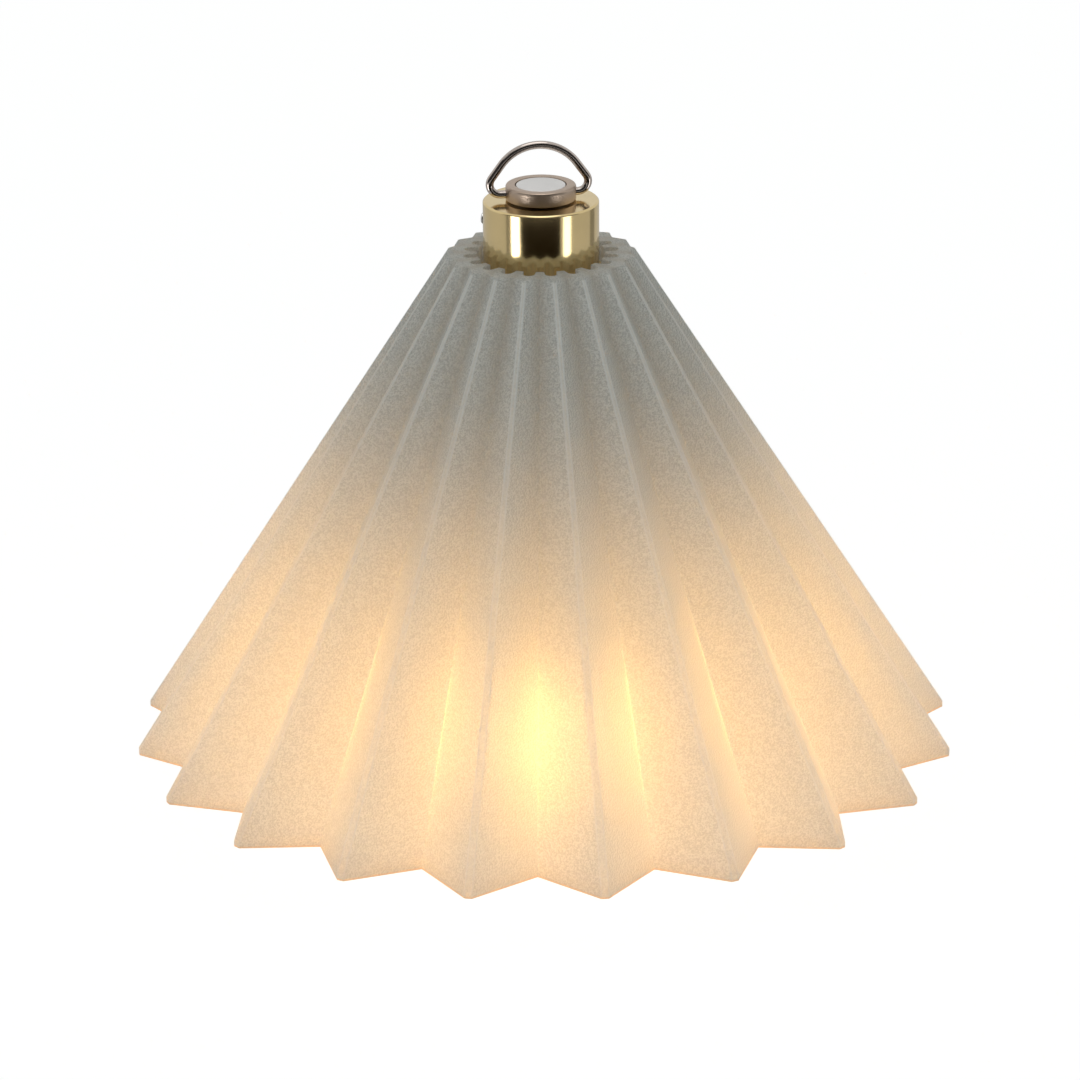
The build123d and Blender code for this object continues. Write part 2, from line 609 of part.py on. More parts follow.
def button_stud():
    """Round button head with a pocket for the magnet, wire holes and a grooved shank."""
    head = cylinder(STUD_RADIUS, STUD_HEAD_Z, STUD_TOP_Z)
    head = fillet(circular_edges(head, STUD_TOP_Z, STUD_RADIUS), STUD_EDGE)
    head -= cylinder(POCKET_RADIUS, STUD_TOP_Z - MAGNET_SUNK - MAGNET_THICK, STUD_TOP_Z)
    for x0, x1 in ((-STUD_RADIUS, -EYE_END), (EYE_END, STUD_RADIUS)):
        head -= rod_x(WIRE_RADIUS + EYE_CLEARANCE, x0, x1, 0, PIVOT_Z)
    shank = cylinder(SHANK_RADIUS, SHANK_FOOT_Z, STUD_HEAD_Z)
    return head + (shank - tube(SHANK_RADIUS, CLIP_GROOVE, ROOF_Z - CLIP_THICK, ROOF_Z))


def stud_magnet():
    """Disc magnet glued in the pocket of the button."""
    top = STUD_TOP_Z - MAGNET_SUNK
    disc = cylinder(MAGNET_RADIUS, top - MAGNET_THICK, top)
    return chamfer(circular_edges(disc, top, MAGNET_RADIUS), MAGNET_EDGE)


def button_clip():
    """Open spring clip in the shank's groove, which stops the button under the roof."""
    clip = tube(CLIP_RADIUS, CLIP_GROOVE, ROOF_Z - CLIP_THICK, ROOF_Z)
    half = CLIP_MOUTH / 2
    return clip - block(-half, half, 0, CLIP_RADIUS, ROOF_Z - CLIP_THICK, ROOF_Z)


def switch_plunger():
    """Plunger of the push switch, under the button's shank."""
    return cylinder(PLUNGER_RADIUS, SHANK_FOOT_Z - PLUNGER_LENGTH, SHANK_FOOT_Z)


def bail_corner():
    """Where the flank's line meets the pivot's line, each side of the bail."""
    angle = radians(BAIL_ARCH_ANGLE)
    x = BAIL_ARCH_RADIUS * sin(angle)
    z = BAIL_HEIGHT - BAIL_ARCH_RADIUS * (1 - cos(angle))
    return x + z * cos(angle) / sin(angle)


def hanging_bail():
    """Wire loop with an arched top, straight flanks and ends turned in to the pivot."""
    corner = bail_corner()
    apex = BAIL_HEIGHT - BAIL_ARCH_RADIUS
    top = apex + BAIL_ARCH_RADIUS / cos(radians(BAIL_ARCH_ANGLE))
    radii = [BAIL_CORNER_RADIUS, BAIL_ARCH_RADIUS, BAIL_CORNER_RADIUS]
    points = [(-BAIL_WIRE_END, 0), (-corner, 0), (0, top), (corner, 0), (BAIL_WIRE_END, 0)]
    path = Plane.XZ * FilletPolyline(*points, radius=radii)
    wire = sweep(Plane(path @ 0, z_dir=path % 0) * Circle(WIRE_RADIUS), path=path)
    return Pos(BAIL_SIDE_SHIFT, 0, PIVOT_Z) * wire


NODES = {
    "foot_pad": foot_pad,
    "foot_cap": foot_cap,
    "foot_screw": foot_screw,
    "diffuser": diffuser,
    "lens_ring": lens_ring,
    "lens_gasket": lens_gasket,
    "reflector": reflector,
    "led_board": led_board,
    "led_chips": led_chips,
    "led_screw_left": lambda: led_screw(-1),
    "led_screw_right": lambda: led_screw(1),
    "heat_spreader": heat_spreader,
    "battery_tube": battery_tube,
    "battery_cell": battery_cell,
    "cell_sleeve": cell_sleeve,
    "negative_contact": negative_contact,
    "positive_contact": positive_contact,
    "led_cable": led_cable,
    "driver_board": driver_board,
    "driver_parts": driver_parts,
    "charge_socket": charge_socket,
    "port_frame": port_frame,
    "port_hinge_pin": port_hinge_pin,
    "port_cover": port_cover,
    "body_cap": body_cap,
    "seat_ring": seat_ring,
    "switch_cable": switch_cable,
    "switch_board": switch_board,
    "tact_switch": tact_switch,
    "head_collar": head_collar,
    "collar_set_screw": collar_set_screw,
    "button_stud": button_stud,
    "stud_magnet": stud_magnet,
    "button_clip": button_clip,
    "switch_plunger": switch_plunger,
    "hanging_bail": hanging_bail,
    "shade": shade,
}

for name, make in NODES.items():
    export_step(make(), f"parts/{name}.step")
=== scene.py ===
"""Blender scene of a small cordless table lamp with a pleated shade of frosted resin."""

import logging
import math
from collections.abc import Callable, Iterable
from dataclasses import dataclass
from enum import Enum

import bmesh
import bpy
from mathutils import Matrix, Vector


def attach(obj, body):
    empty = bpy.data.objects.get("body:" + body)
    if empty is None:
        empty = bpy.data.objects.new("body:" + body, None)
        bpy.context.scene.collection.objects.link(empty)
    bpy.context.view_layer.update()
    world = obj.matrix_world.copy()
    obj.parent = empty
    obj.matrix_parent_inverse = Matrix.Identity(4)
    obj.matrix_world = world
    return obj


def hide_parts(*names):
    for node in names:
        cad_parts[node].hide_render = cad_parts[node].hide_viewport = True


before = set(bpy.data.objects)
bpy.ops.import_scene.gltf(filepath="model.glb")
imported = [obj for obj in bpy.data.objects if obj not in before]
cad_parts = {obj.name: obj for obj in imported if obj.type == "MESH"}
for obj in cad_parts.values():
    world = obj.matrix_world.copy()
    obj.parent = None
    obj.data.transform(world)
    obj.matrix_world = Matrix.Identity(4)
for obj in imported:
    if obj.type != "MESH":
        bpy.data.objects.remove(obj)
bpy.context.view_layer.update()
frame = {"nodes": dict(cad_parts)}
MM = 0.001
TURNED_WELD = 1e-7
CAD_WELD = 1e-6
FLAT = math.radians(1.0)
log = logging.getLogger("lamp")

Colour = Triple = tuple[float, float, float]
Point = tuple[float, float]
Mesh = bmesh.types.BMesh
Material = bpy.types.Material
Object = bpy.types.Object
Socket = bpy.types.NodeSocket
WHITE: Colour = (1.0, 1.0, 1.0)


# --- Shader nodes ------------------------------------------------------------
class Value:
    """A number on a node's output, on which Python's operators add Math nodes."""

    def __init__(self, tree: "Shading", socket: Socket) -> None:
        """Keeps the socket and the tree that it belongs to."""
        self.tree = tree
        self.socket = socket

    def math(self, operation: str, *others: "Value | float") -> "Value":
        """Adds one Math node.

        Args:
            operation: the Math node's operation.
            others: its second and third inputs.

        Returns:
            The node's result.
        """
        return self.tree.math(operation, self, *others)

    def __add__(self, other: "Value | float") -> "Value":
        """Sum."""
        return self.math("ADD", other)

    def __sub__(self, other: "Value | float") -> "Value":
        """Difference."""
        return self.math("SUBTRACT", other)

    def __rsub__(self, other: float) -> "Value":
        """Difference from a number."""
        return self.tree.math("SUBTRACT", other, self)

    def __mul__(self, other: "Value | float") -> "Value":
        """Product."""
        return self.math("MULTIPLY", other)

    def __truediv__(self, other: "Value | float") -> "Value":
        """Quotient."""
        return self.math("DIVIDE", other)

    def __pow__(self, other: float) -> "Value":
        """Power."""
        return self.math("POWER", other)

    def clamp(self, low: float = 0.0, high: float = 1.0) -> "Value":
        """The value kept between two limits."""
        return self.math("MAXIMUM", low).math("MINIMUM", high)

    def ramp(self, start: float, added: float) -> "Value":
        """The value scaled: 0 gives start, and 1 gives start with the other number added."""
        return self * added + start

    def step(self, start: float, end: float) -> "Value":
        """A smooth step.

        Args:
            start: where the step is 0.
            end: where the step is 1.

        Returns:
            0 before start, 1 after end.
        """
        node = self.tree.node("ShaderNodeMapRange", {"interpolation_type": "SMOOTHSTEP"},
                              {"Value": self, "From Min": start, "From Max": end})
        return Value(self.tree, node.outputs["Result"])


class Shading:
    """The node tree of one material, or of the world."""

    def __init__(self, name: str, world: bool = False) -> None:
        """Makes an empty tree with its output.

        Args:
            name: the material's or the world's name.
            world: whether it belongs to a new world.
        """
        self.owner = (bpy.data.worlds if world else bpy.data.materials).new(name)
        self.owner.use_nodes = True
        self.tree = self.owner.node_tree
        self.tree.nodes.clear()
        self.output = self.tree.nodes.new(f"ShaderNodeOutput{'World' if world else 'Material'}")

    def node(self, kind: str, settings: dict | None = None,
             inputs: dict | None = None) -> bpy.types.Node:
        """Adds a node.

        Args:
            kind: the node's type name.
            settings: attributes to set first.
            inputs: values or links by the socket's name or index.

        Returns:
            The new node.
        """
        node = self.tree.nodes.new(kind)
        for name, value in (settings or {}).items():
            setattr(node, name, value)
        for name, value in (inputs or {}).items():
            self.feed(node.inputs[name], value)
        return node

    def feed(self, socket: Socket, value: object) -> None:
        """Gives a socket a link or a constant.

        Args:
            socket: the input.
            value: a Value, an output socket, a colour, a vector or a number.
        """
        if isinstance(value, Value):
            self.tree.links.new(value.socket, socket)
        elif isinstance(value, Socket):
            self.tree.links.new(value, socket)
        elif isinstance(value, tuple) and socket.type == "RGBA" and len(value) == 3:
            socket.default_value = (*value, 1.0)
        else:
            socket.default_value = value

    def math(self, operation: str, *values: "Value | float") -> Value:
        """Adds a Math node on up to three values and returns its result."""
        node = self.node("ShaderNodeMath", {"operation": operation}, dict(enumerate(values)))
        return Value(self, node.outputs[0])

    def place(self) -> Socket:
        """Object coordinates, in metres."""
        return self.node("ShaderNodeTexCoord").outputs["Object"]

    def axes(self) -> tuple[Value, Value, Value]:
        """The three object coordinates apart."""
        node = self.node("ShaderNodeSeparateXYZ", None, {0: self.place()})
        return tuple(Value(self, socket) for socket in node.outputs)

    def noise(self, size: float, detail: float = 2.0, stretch: tuple = (1, 1, 1),
              shift: tuple = (0, 0, 0)) -> Value:
        """Noise on object coordinates.

        Args:
            size: the size of its largest grains, in metres.
            detail: octaves of finer grain.
            stretch: how much longer the grains are along X, Y and Z.
            shift: how far the pattern is moved, in grains.

        Returns:
            Its value, from 0 to 1.
        """
        scale = tuple(1 / (size * share) for share in stretch)
        mapped = self.node("ShaderNodeMapping", None, {
            "Vector": self.place(), "Scale": scale, "Location": shift})
        node = self.node("ShaderNodeTexNoise", None, {
            "Vector": mapped.outputs[0], "Scale": 1.0, "Detail": detail})
        return Value(self, node.outputs["Fac"])

    def mix(self, share: "Value | float", low: object, high: object) -> Socket:
        """Mixes two colours.

        Args:
            share: 0 gives low and 1 gives high.
            low: a colour or a link.
            high: a colour or a link.

        Returns:
            The mixed colour.
        """
        node = self.node("ShaderNodeMix", {"data_type": "RGBA"}, {0: share, 6: low, 7: high})
        return node.outputs[2]

    def bump(self, height: Value, depth: float) -> Socket:
        """A normal from a height of 0 to 1; depth is what 1 stands for, in metres."""
        inputs = {"Height": height, "Distance": depth, "Strength": 1.0}
        return self.node("ShaderNodeBump", None, inputs).outputs[0]

    def flat(self, kind: str, colour: Colour, strength: float) -> Socket:
        """Adds an Emission or Background shader of one colour and returns its output."""
        return self.node(kind, None, {"Color": colour, "Strength": strength}).outputs[0]

    def principled(self, inputs: dict) -> Socket:
        """Adds a Principled shader with the given inputs and returns its output."""
        return self.node("ShaderNodeBsdfPrincipled", None, inputs).outputs[0]

    def blend(self, share: "Value | float | Socket", low: Socket,
              high: Socket) -> Socket:
        """Mixes two shaders: a share of 0 gives low and 1 gives high."""
        return self.node("ShaderNodeMixShader", None, {0: share, 1: low, 2: high}).outputs[0]

    def turn(self, steps: int) -> Value:
        """The angle from the front, towards +X, in steps of a full turn."""
        x, y, _ = self.axes()
        return self.math("ARCTAN2", x, y * -1.0) / (math.tau / steps)

    def zigzag(self, teeth: int) -> Value:
        """A zigzag round the axis: 0 at the front and on each tooth, 0.5 halfway between."""
        return self.turn(teeth).math("PINGPONG", 0.5)

    def radius(self) -> Value:
        """Distance from the lamp's axis, in metres."""
        x, y, _ = self.axes()
        return (x * x + y * y) ** 0.5

    def finish(self, shader: Socket) -> bpy.types.ID:
        """Links a shader to the output and returns the material or the world."""
        self.tree.links.new(shader, self.output.inputs["Surface"])
        return self.owner


# --- Mesh helpers ------------------------------------------------------------
class Finish:
    """Base of every finish: a look that is made once and shared."""

    def make(self) -> Material:
        """Builds the material."""
        raise NotImplementedError

    def material(self) -> Material:
        """Builds the material at its first use.

        Returns:
            The material, which all pieces with this finish share.
        """
        if self not in MADE:
            MADE[self] = self.make()
        return MADE[self]


MADE: dict[Finish, Material] = {}


def new_object(name: str, bm: Mesh, material: Material) -> Object:
    """Turns a mesh into an object of the scene.

    Args:
        name: the object's name.
        bm: its mesh, which is freed.
        material: its material.

    Returns:
        The new object.
    """
    mesh = bpy.data.meshes.new(name)
    bm.to_mesh(mesh)
    bm.free()
    mesh.materials.append(material)
    made = bpy.data.objects.new(name, mesh)
    bpy.context.scene.collection.objects.link(made)
    return made


def new_piece(name: str, bm: Mesh, finish: Finish, body: str,
              nodes: Iterable[str]) -> Object:
    """Turns a mesh into a piece of the lamp.

    Args:
        name: the piece's name.
        bm: its mesh, which is freed.
        finish: its look.
        body: the CAD body it rides on.
        nodes: the CAD nodes it replaces.

    Returns:
        The new object.
    """
    piece = new_object(name, bm, finish.material())
    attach(piece, body)
    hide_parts(*nodes)
    log.info("%s: %d faces on %s", name, len(piece.data.polygons), body)
    return piece


def weigh_normals(piece: Object) -> None:
    """Keeps broad faces flat beside their rounded edges."""
    modifier = piece.modifiers.new("flat_faces", "WEIGHTED_NORMAL")
    modifier.keep_sharp = True
    modifier.weight = 100


def smooth(bm: Mesh, sharpest: float = 35.0) -> None:
    """Shades a mesh smooth, apart from its sharp edges.

    Args:
        bm: the mesh.
        sharpest: edges that turn by more than this, in degrees, stay sharp.
    """
    limit = math.radians(sharpest)
    for face in bm.faces:
        face.smooth = True
    for edge in bm.edges:
        edge.smooth = len(edge.link_faces) == 2 and edge.calc_face_angle(0.0) < limit


def soften(bm: Mesh, width: float, sharpest: float = 50.0) -> None:
    """Rounds a mesh's sharp edges.

    Args:
        bm: the mesh.
        width: the rounding, in millimetres.
        sharpest: edges that turn by more than this, in degrees, are rounded.
    """
    limit = math.radians(sharpest)
    sharp = [e for e in bm.edges if len(e.link_faces) == 2 and e.calc_face_angle(0.0) > limit]
    bmesh.ops.bevel(bm, geom=sharp, offset=width * MM, segments=2, profile=0.5, affect="EDGES",
                    material=-1, clamp_overlap=True)


def lathe(profile: Iterable[Point], segments: int = 128, closed: bool = True) -> Mesh:
    """Spins a profile round the lamp's axis.

    Args:
        profile: radius and height of each corner, in millimetres, anticlockwise.
        segments: steps of the full turn.
        closed: whether the last corner joins the first.

    Returns:
        The turned mesh.
    """
    bm = bmesh.new()
    verts = [bm.verts.new((radius * MM, 0, height * MM)) for radius, height in profile]
    edges = [bm.edges.new(pair) for pair in zip(verts, verts[1:])]
    if closed:
        edges.append(bm.edges.new((verts[-1], verts[0])))
    bmesh.ops.spin(bm, geom=verts + edges, cent=(0, 0, 0), axis=(0, 0, 1), angle=math.tau,
                   steps=segments, use_merge=True)
    bmesh.ops.remove_doubles(bm, verts=bm.verts, dist=TURNED_WELD)
    bmesh.ops.recalc_face_normals(bm, faces=bm.faces)
    smooth(bm)
    return bm


def rounded(corners: Iterable[Triple], steps: int = 4) -> list[Point]:
    """Rounds the corners of a profile.

    Args:
        corners: radius, height and rounding of each corner, in millimetres, of a closed outline.
        steps: points along each rounding.

    Returns:
        The profile's points.
    """
    corners = list(corners)
    points: list[Point] = []
    for index, (x, y, size) in enumerate(corners):
        here = Vector((x, y))
        if size == 0:
            points.append((x, y))
            continue
        before = (Vector(corners[index - 1][:2]) - here).normalized()
        after = (Vector(corners[(index + 1) % len(corners)][:2]) - here).normalized()
        for step in range(steps + 1):
            share = step / steps
            start, end = here + before * size, here + after * size
            curve = start.lerp(here, share).lerp(here.lerp(end, share), share)
            points.append((curve.x, curve.y))
    return points


def node_copy(node: str, bevel: float = 0.0) -> Mesh:
    """Copies a CAD node's mesh with its triangles merged into clean faces.

    Args:
        node: the node's name.
        bevel: rounding of its sharp edges, in millimetres.

    Returns:
        The copy, shaded smooth.
    """
    bm = bmesh.new()
    bm.from_mesh(frame["nodes"][node].data)
    bmesh.ops.remove_doubles(bm, verts=bm.verts, dist=CAD_WELD)
    bmesh.ops.dissolve_limit(bm, angle_limit=FLAT, verts=bm.verts, edges=bm.edges)
    if bevel:
        soften(bm, bevel)
    smooth(bm)
    return bm


# --- Finishes ----------------------------------------------------------------
def scaled(colour: Colour, share: float) -> Colour:
    """A colour with its brightness multiplied."""
    return tuple(share * part for part in colour)


@dataclass(frozen=True)
class FrostedResin(Finish):
    """Milky moulded resin with a leathery grain: a scattering body mixed with rough clear plastic.

    Places on the wall are in millimetres; the grain, its depths and the clouds are in metres. A
    pair is where a change starts and ends, or a value and what a pattern adds to it.
    """

    pleats: int
    hem: float
    slope: Point
    lands: Point
    body: Colour = (0.88, 0.89, 0.89)
    # pale: a painted highlight, a light line along both edges of each crest's blunt land
    pale: Colour = (0.98, 0.98, 0.97)
    # rim: a painted glow, warm lamp light painted along the hem's lower edge
    rim: Colour = (1.0, 0.74, 0.50)
    passed: Colour = (0.96, 0.92, 0.84)
    # crest: painted light, the crests' blunt lands are painted paler than the body
    crest: Colour = (0.96, 0.93, 0.90)
    # shaded: painted shade in the pleats' folds, warm, and deeper towards the top
    shaded: Colour = (0.60, 0.53, 0.45)
    # pits: the dark side of each grain, a painted shade that stands in for the grain's relief
    grain_painted_shade: Colour = (0.60, 0.61, 0.61)
    grain: float = 0.00030
    lit_from: Triple = (0.20, 0.20, -0.25)
    emboss: float = 5.0
    shade: float = 0.86
    relief: float = 0.00040
    ripple: float = 0.00008
    cloud: float = 0.02
    roughness: Point = (0.38, 0.12)
    milky_ior: float = 1.49
    clear_ior: float = 1.45
    blur: float = 0.50
    scatter: float = 0.66
    edge_glow: float = -0.3
    clear: float = 0.21
    clear_limits: Point = (0.03, 0.9)
    edge_clear: float = 0.04
    fold_clear: float = 0.05
    lip_milky: float = 0.18
    top_milky: float = 0.5
    fading: Point = (50.0, 88.0)
    faded: float = 0.34
    # share of the painted highlight on the crests' edges
    painted_edge_highlight: float = 0.55
    # share of the painted fold shade at the hem, and what the height adds to it
    painted_fold_shade: Point = (0.05, 0.45)
    fold_start: float = 0.25
    # lip: heights above the hem where the painted glow fades out
    lip: Point = (0.10, 0.50)
    below_top: Point = (0.4, 0.2)
    edge_width: Point = (0.04, 0.20)
    land_width: Point = (-0.05, 0.25)
    valley_width: Point = (0.04, 0.40)

    def along(self, shading: Shading, share: Value) -> Value:
        """Millimetres along the wall, from a share of the step between two crests."""
        return share * shading.radius() * (math.tau / self.pleats / MM)

    def masks(self, shading: Shading) -> tuple[Value, Value, Value]:
        """Finds the pleats' folds.

        Args:
            shading: the material's node tree.

        Returns:
            1 on the edges of the crests' blunt lands, on the lands, and in the valleys, else 0.
        """
        _, _, z = shading.axes()
        low, high = (height * MM for height in self.slope)
        start, end = (width / 2 for width in self.lands)
        half = ((z - low) / (high - low)).clamp() * (end - start) + start
        wall = 1.0 - z.step(*(high - depth * MM for depth in self.below_top))
        zigzag = shading.zigzag(self.pleats)
        beside = self.along(shading, zigzag) - half
        edge = 1.0 - beside.math("ABSOLUTE").step(*self.edge_width)
        land = 1.0 - beside.step(*self.land_width)
        valley = 1.0 - self.along(shading, 0.5 - zigzag).step(*self.valley_width)
        return edge * wall, land * wall, valley * wall

    def make(self) -> Material:
        """Builds the resin: crests, folds, lip and grain over a body that thickens upwards.

        The crests carry painted light, the folds painted shade, the lip a painted glow,
        and the grain a painted highlight and shade.

        Returns:
            The material.
        """
        shading = Shading("frosted_resin")
        edge, land, valley = self.masks(shading)
        _, _, z = shading.axes()
        lip = 1.0 - z.step(*((self.hem + height) * MM for height in self.lip))
        grain = shading.noise(self.grain)
        behind = shading.noise(self.grain, shift=self.lit_from)
        # Painted highlight and shade on the real grain: each grain is lighter on one side and
        # darker on the other, as if lit from one side; it tints the milky, the passed and the clear
        # colour.
        lit = ((grain - behind) * self.emboss + 0.5).clamp()
        fine = shading.bump(grain, self.ripple)
        high = z.step(*(height * MM for height in self.fading))
        dense = high * self.faded
        fold = (shading.zigzag(self.pleats) * 2.0).step(self.fold_start, 1.0)
        colour = shading.mix(lit, self.grain_painted_shade, self.body)
        # Painted shade in the folds, deeper towards the top
        colour = shading.mix(fold * high.ramp(*self.painted_fold_shade), colour, self.shaded)
        # Painted light: the crests' lands are paler
        colour = shading.mix(land, colour, self.crest)
        # Painted highlight along both edges of each crest's land
        colour = shading.mix(edge * self.painted_edge_highlight, colour, self.pale)
        # Painted glow along the hem's lower edge, here and in the translucent colour below
        colour = shading.mix(lip, colour, self.rim)
        milky = shading.principled({
            "Base Color": colour, "Roughness": shading.noise(self.cloud).ramp(*self.roughness),
            "IOR": self.milky_ior, "Normal": shading.bump(grain, self.relief)})
        passed = shading.mix(lit, scaled(self.passed, self.shade), self.passed)
        glow = shading.node("ShaderNodeBsdfTranslucent", None, {
            "Color": shading.mix(lip, passed, self.rim), "Normal": fine})
        rough_clear = shading.principled({
            "Base Color": shading.mix(lit, scaled(WHITE, self.shade), WHITE),
            "Roughness": self.blur, "IOR": self.clear_ior, "Transmission Weight": 1.0,
            "Normal": fine})
        scatter = edge * self.edge_glow - dense + self.scatter
        body = shading.blend(scatter.clamp(), milky, glow.outputs[0])
        share = valley * self.fold_clear + fold * self.fold_clear + edge * self.edge_clear
        share = share - lip * self.lip_milky - dense * self.top_milky + self.clear
        return shading.finish(shading.blend(share.clamp(*self.clear_limits), body, rough_clear))


@dataclass(frozen=True)
class Metal(Finish):
    """Turned, drawn or plated metal with tool lines, smudges and faint scratches, in metres."""

    name: str
    colour: Colour
    roughness: float
    lines: float = 0.0
    wear: float = 0.06
    knurls: int = 0
    knurl_depth: float = 0.00018
    line_scale: float = 6500.0
    smudge: float = 0.006
    smudged: Point = (0.25, 0.75)
    dulled: float = 0.90
    scratch: float = 0.0012
    scratch_stretch: Triple = (8, 8, 0.25)
    scratched: Point = (0.62, 0.74)
    scratch_wear: float = 0.8

    def make(self) -> Material:
        """Builds the metal; its tool lines run round the lamp's axis.

        Returns:
            The material.
        """
        shading = Shading(self.name)
        smudge = shading.noise(self.smudge, 4.0)
        scratch = shading.noise(self.scratch, 3.0, self.scratch_stretch).step(*self.scratched)
        worn = smudge * self.wear + scratch * (self.wear * self.scratch_wear)
        dull = scaled(self.colour, self.dulled)
        inputs = {"Base Color": shading.mix(smudge.step(*self.smudged), dull, self.colour),
                  "Metallic": 1.0, "Roughness": worn + (self.roughness - self.wear / 2)}
        relief = self.relief(shading)
        if relief is not None:
            inputs["Normal"] = relief
        return shading.finish(shading.principled(inputs))

    def relief(self, shading: Shading) -> Socket | None:
        """Adds the tool lines, or a straight knurl.

        Args:
            shading: the material's node tree.

        Returns:
            The bent normal, or None where the metal is plain.
        """
        if self.knurls:
            return shading.bump(shading.zigzag(self.knurls) * 2.0, self.knurl_depth)
        if not self.lines:
            return None
        _, _, z = shading.axes()
        rings = shading.node("ShaderNodeTexNoise", {"noise_dimensions": "1D"}, {
            "W": shading.radius() + z, "Scale": self.line_scale, "Detail": 3.0})
        return shading.bump(Value(shading, rings.outputs["Fac"]), self.lines)


@dataclass(frozen=True)
class Moulded(Finish):
    """Moulded plastic or rubber with a fine matte skin and slight rubbed patches, in metres."""

    name: str
    colour: Colour
    roughness: float = 0.5
    grain: float = 0.0004
    relief: float = 0.00001
    patch: float = 0.008
    patch_dark: float = 0.84
    uneven: Point = (0.12, 0.10)

    def make(self) -> Material:
        """Builds the plastic.

        Returns:
            The material.
        """
        shading = Shading(self.name)
        skin = shading.noise(self.grain)
        patch = shading.noise(self.patch, 3.0)
        rough = skin * self.uneven[0] + patch * self.uneven[1]
        return shading.finish(shading.principled({
            "Base Color": shading.mix(patch, scaled(self.colour, self.patch_dark), self.colour),
            "Roughness": rough + (self.roughness - sum(self.uneven) / 2),
            "Normal": shading.bump(skin, self.relief)}))


@dataclass(frozen=True)
class Glowing(Finish):
    """The lit cup: frosted plastic that sends out the lamp's warm light, in metres."""

    name: str
    bright: Colour = (1.0, 0.56, 0.14)
    dim: Colour = (0.62, 0.27, 0.03)
    plastic: Colour = (0.90, 0.88, 0.82)
    ends: Point = (0.0035, 0.0262)
    peak: Point = (0.011, 0.017)
    strength: float = 30.0
    frost: float = 0.0006
    roughness: Point = (0.45, 0.1)
    relief: float = 0.00001

    def make(self) -> Material:
        """Builds the glow: fullest in the cup's middle, dimmer beside its two ends.

        Returns:
            The material.
        """
        shading = Shading(self.name)
        _, _, z = shading.axes()
        frost = shading.noise(self.frost)
        (low, high), (start, end) = self.ends, self.peak
        away = (z.step(end, high) + 1.0 - z.step(low, start)).clamp()
        return shading.finish(shading.principled({
            "Base Color": self.plastic, "Roughness": frost.ramp(*self.roughness),
            "Normal": shading.bump(frost, self.relief),
            "Emission Color": shading.mix(away, self.bright, self.dim),
            "Emission Strength": self.strength}))


@dataclass(frozen=True)
class CircuitBoard(Finish):
    """Lacquered board with fine copper tracks under the lacquer, in metres."""

    name: str
    lacquer: Colour
    track: Colour
    cells: float = 700.0
    track_edge: Point = (0.05, 0.09)
    fleck: float = 0.0015
    roughness: Point = (0.22, 0.15)
    coat: float = 0.4
    relief: float = 0.00003

    def make(self) -> Material:
        """Builds the board from the borders of a cell pattern.

        Returns:
            The material.
        """
        shading = Shading(self.name)
        cells = shading.node(
            "ShaderNodeTexVoronoi", {"feature": "DISTANCE_TO_EDGE", "distance": "CHEBYCHEV"},
            {"Vector": shading.place(), "Scale": self.cells})
        track = 1.0 - Value(shading, cells.outputs["Distance"]).step(*self.track_edge)
        return shading.finish(shading.principled({
            "Base Color": shading.mix(track, self.lacquer, self.track),
            "Roughness": shading.noise(self.fleck).ramp(*self.roughness),
            "Coat Weight": self.coat, "Normal": shading.bump(track, self.relief)}))


@dataclass(frozen=True)
class LightChips(Finish):
    """Seven light chips, pale frames round yellow phosphor, in metres."""

    name: str
    ring: float = 0.0046
    spacing: int = 6
    frame_edge: Point = (0.00085, 0.00100)
    phosphor: Colour = (0.95, 0.72, 0.12)
    frame: Colour = (0.90, 0.88, 0.82)
    speck: float = 0.0003
    roughness: Point = (0.25, 0.2)
    coat: float = 0.3
    relief: float = 0.00006

    def make(self) -> Material:
        """Builds the chips from the distance to the nearest chip's centre.

        Returns:
            The material.
        """
        shading = Shading(self.name)
        angle = shading.zigzag(self.spacing) * (math.tau / self.spacing)
        radius = shading.radius()
        along = radius * angle.math("COSINE") - self.ring
        across = radius * angle.math("SINE")
        outer = (along * along + across * across) ** 0.5
        edge = outer.math("MINIMUM", radius).step(*self.frame_edge)
        return shading.finish(shading.principled({
            "Base Color": shading.mix(edge, self.phosphor, self.frame),
            "Roughness": shading.noise(self.speck).ramp(*self.roughness),
            "Coat Weight": self.coat, "Normal": shading.bump(edge, self.relief)}))


@dataclass(frozen=True)
class ShrinkFilm(Finish):
    """Glossy film shrunk round the cell; ends and wrinkled are in millimetres, the rest metres."""

    name: str
    colour: Colour
    ends: Point
    wrinkled: float = 3.0
    wrinkle: float = 0.0012
    stretch: Triple = (0.4, 0.4, 4)
    cloud: float = 0.01
    cloud_dark: float = 0.8
    roughness: Point = (0.16, 0.1)
    coat: float = 0.5
    relief: float = 0.00012

    def make(self) -> Material:
        """Builds the film.

        Returns:
            The material.
        """
        shading = Shading(self.name)
        _, _, z = shading.axes()
        low, high = (height * MM for height in self.ends)
        reach = self.wrinkled * MM
        near = (1.0 - z.step(low, low + reach)) + z.step(high - reach, high)
        fold = shading.noise(self.wrinkle, stretch=self.stretch)
        cloud = shading.noise(self.cloud)
        return shading.finish(shading.principled({
            "Base Color": shading.mix(cloud, scaled(self.colour, self.cloud_dark), self.colour),
            "Roughness": cloud.ramp(*self.roughness), "Coat Weight": self.coat,
            "Normal": shading.bump(fold * near, self.relief)}))


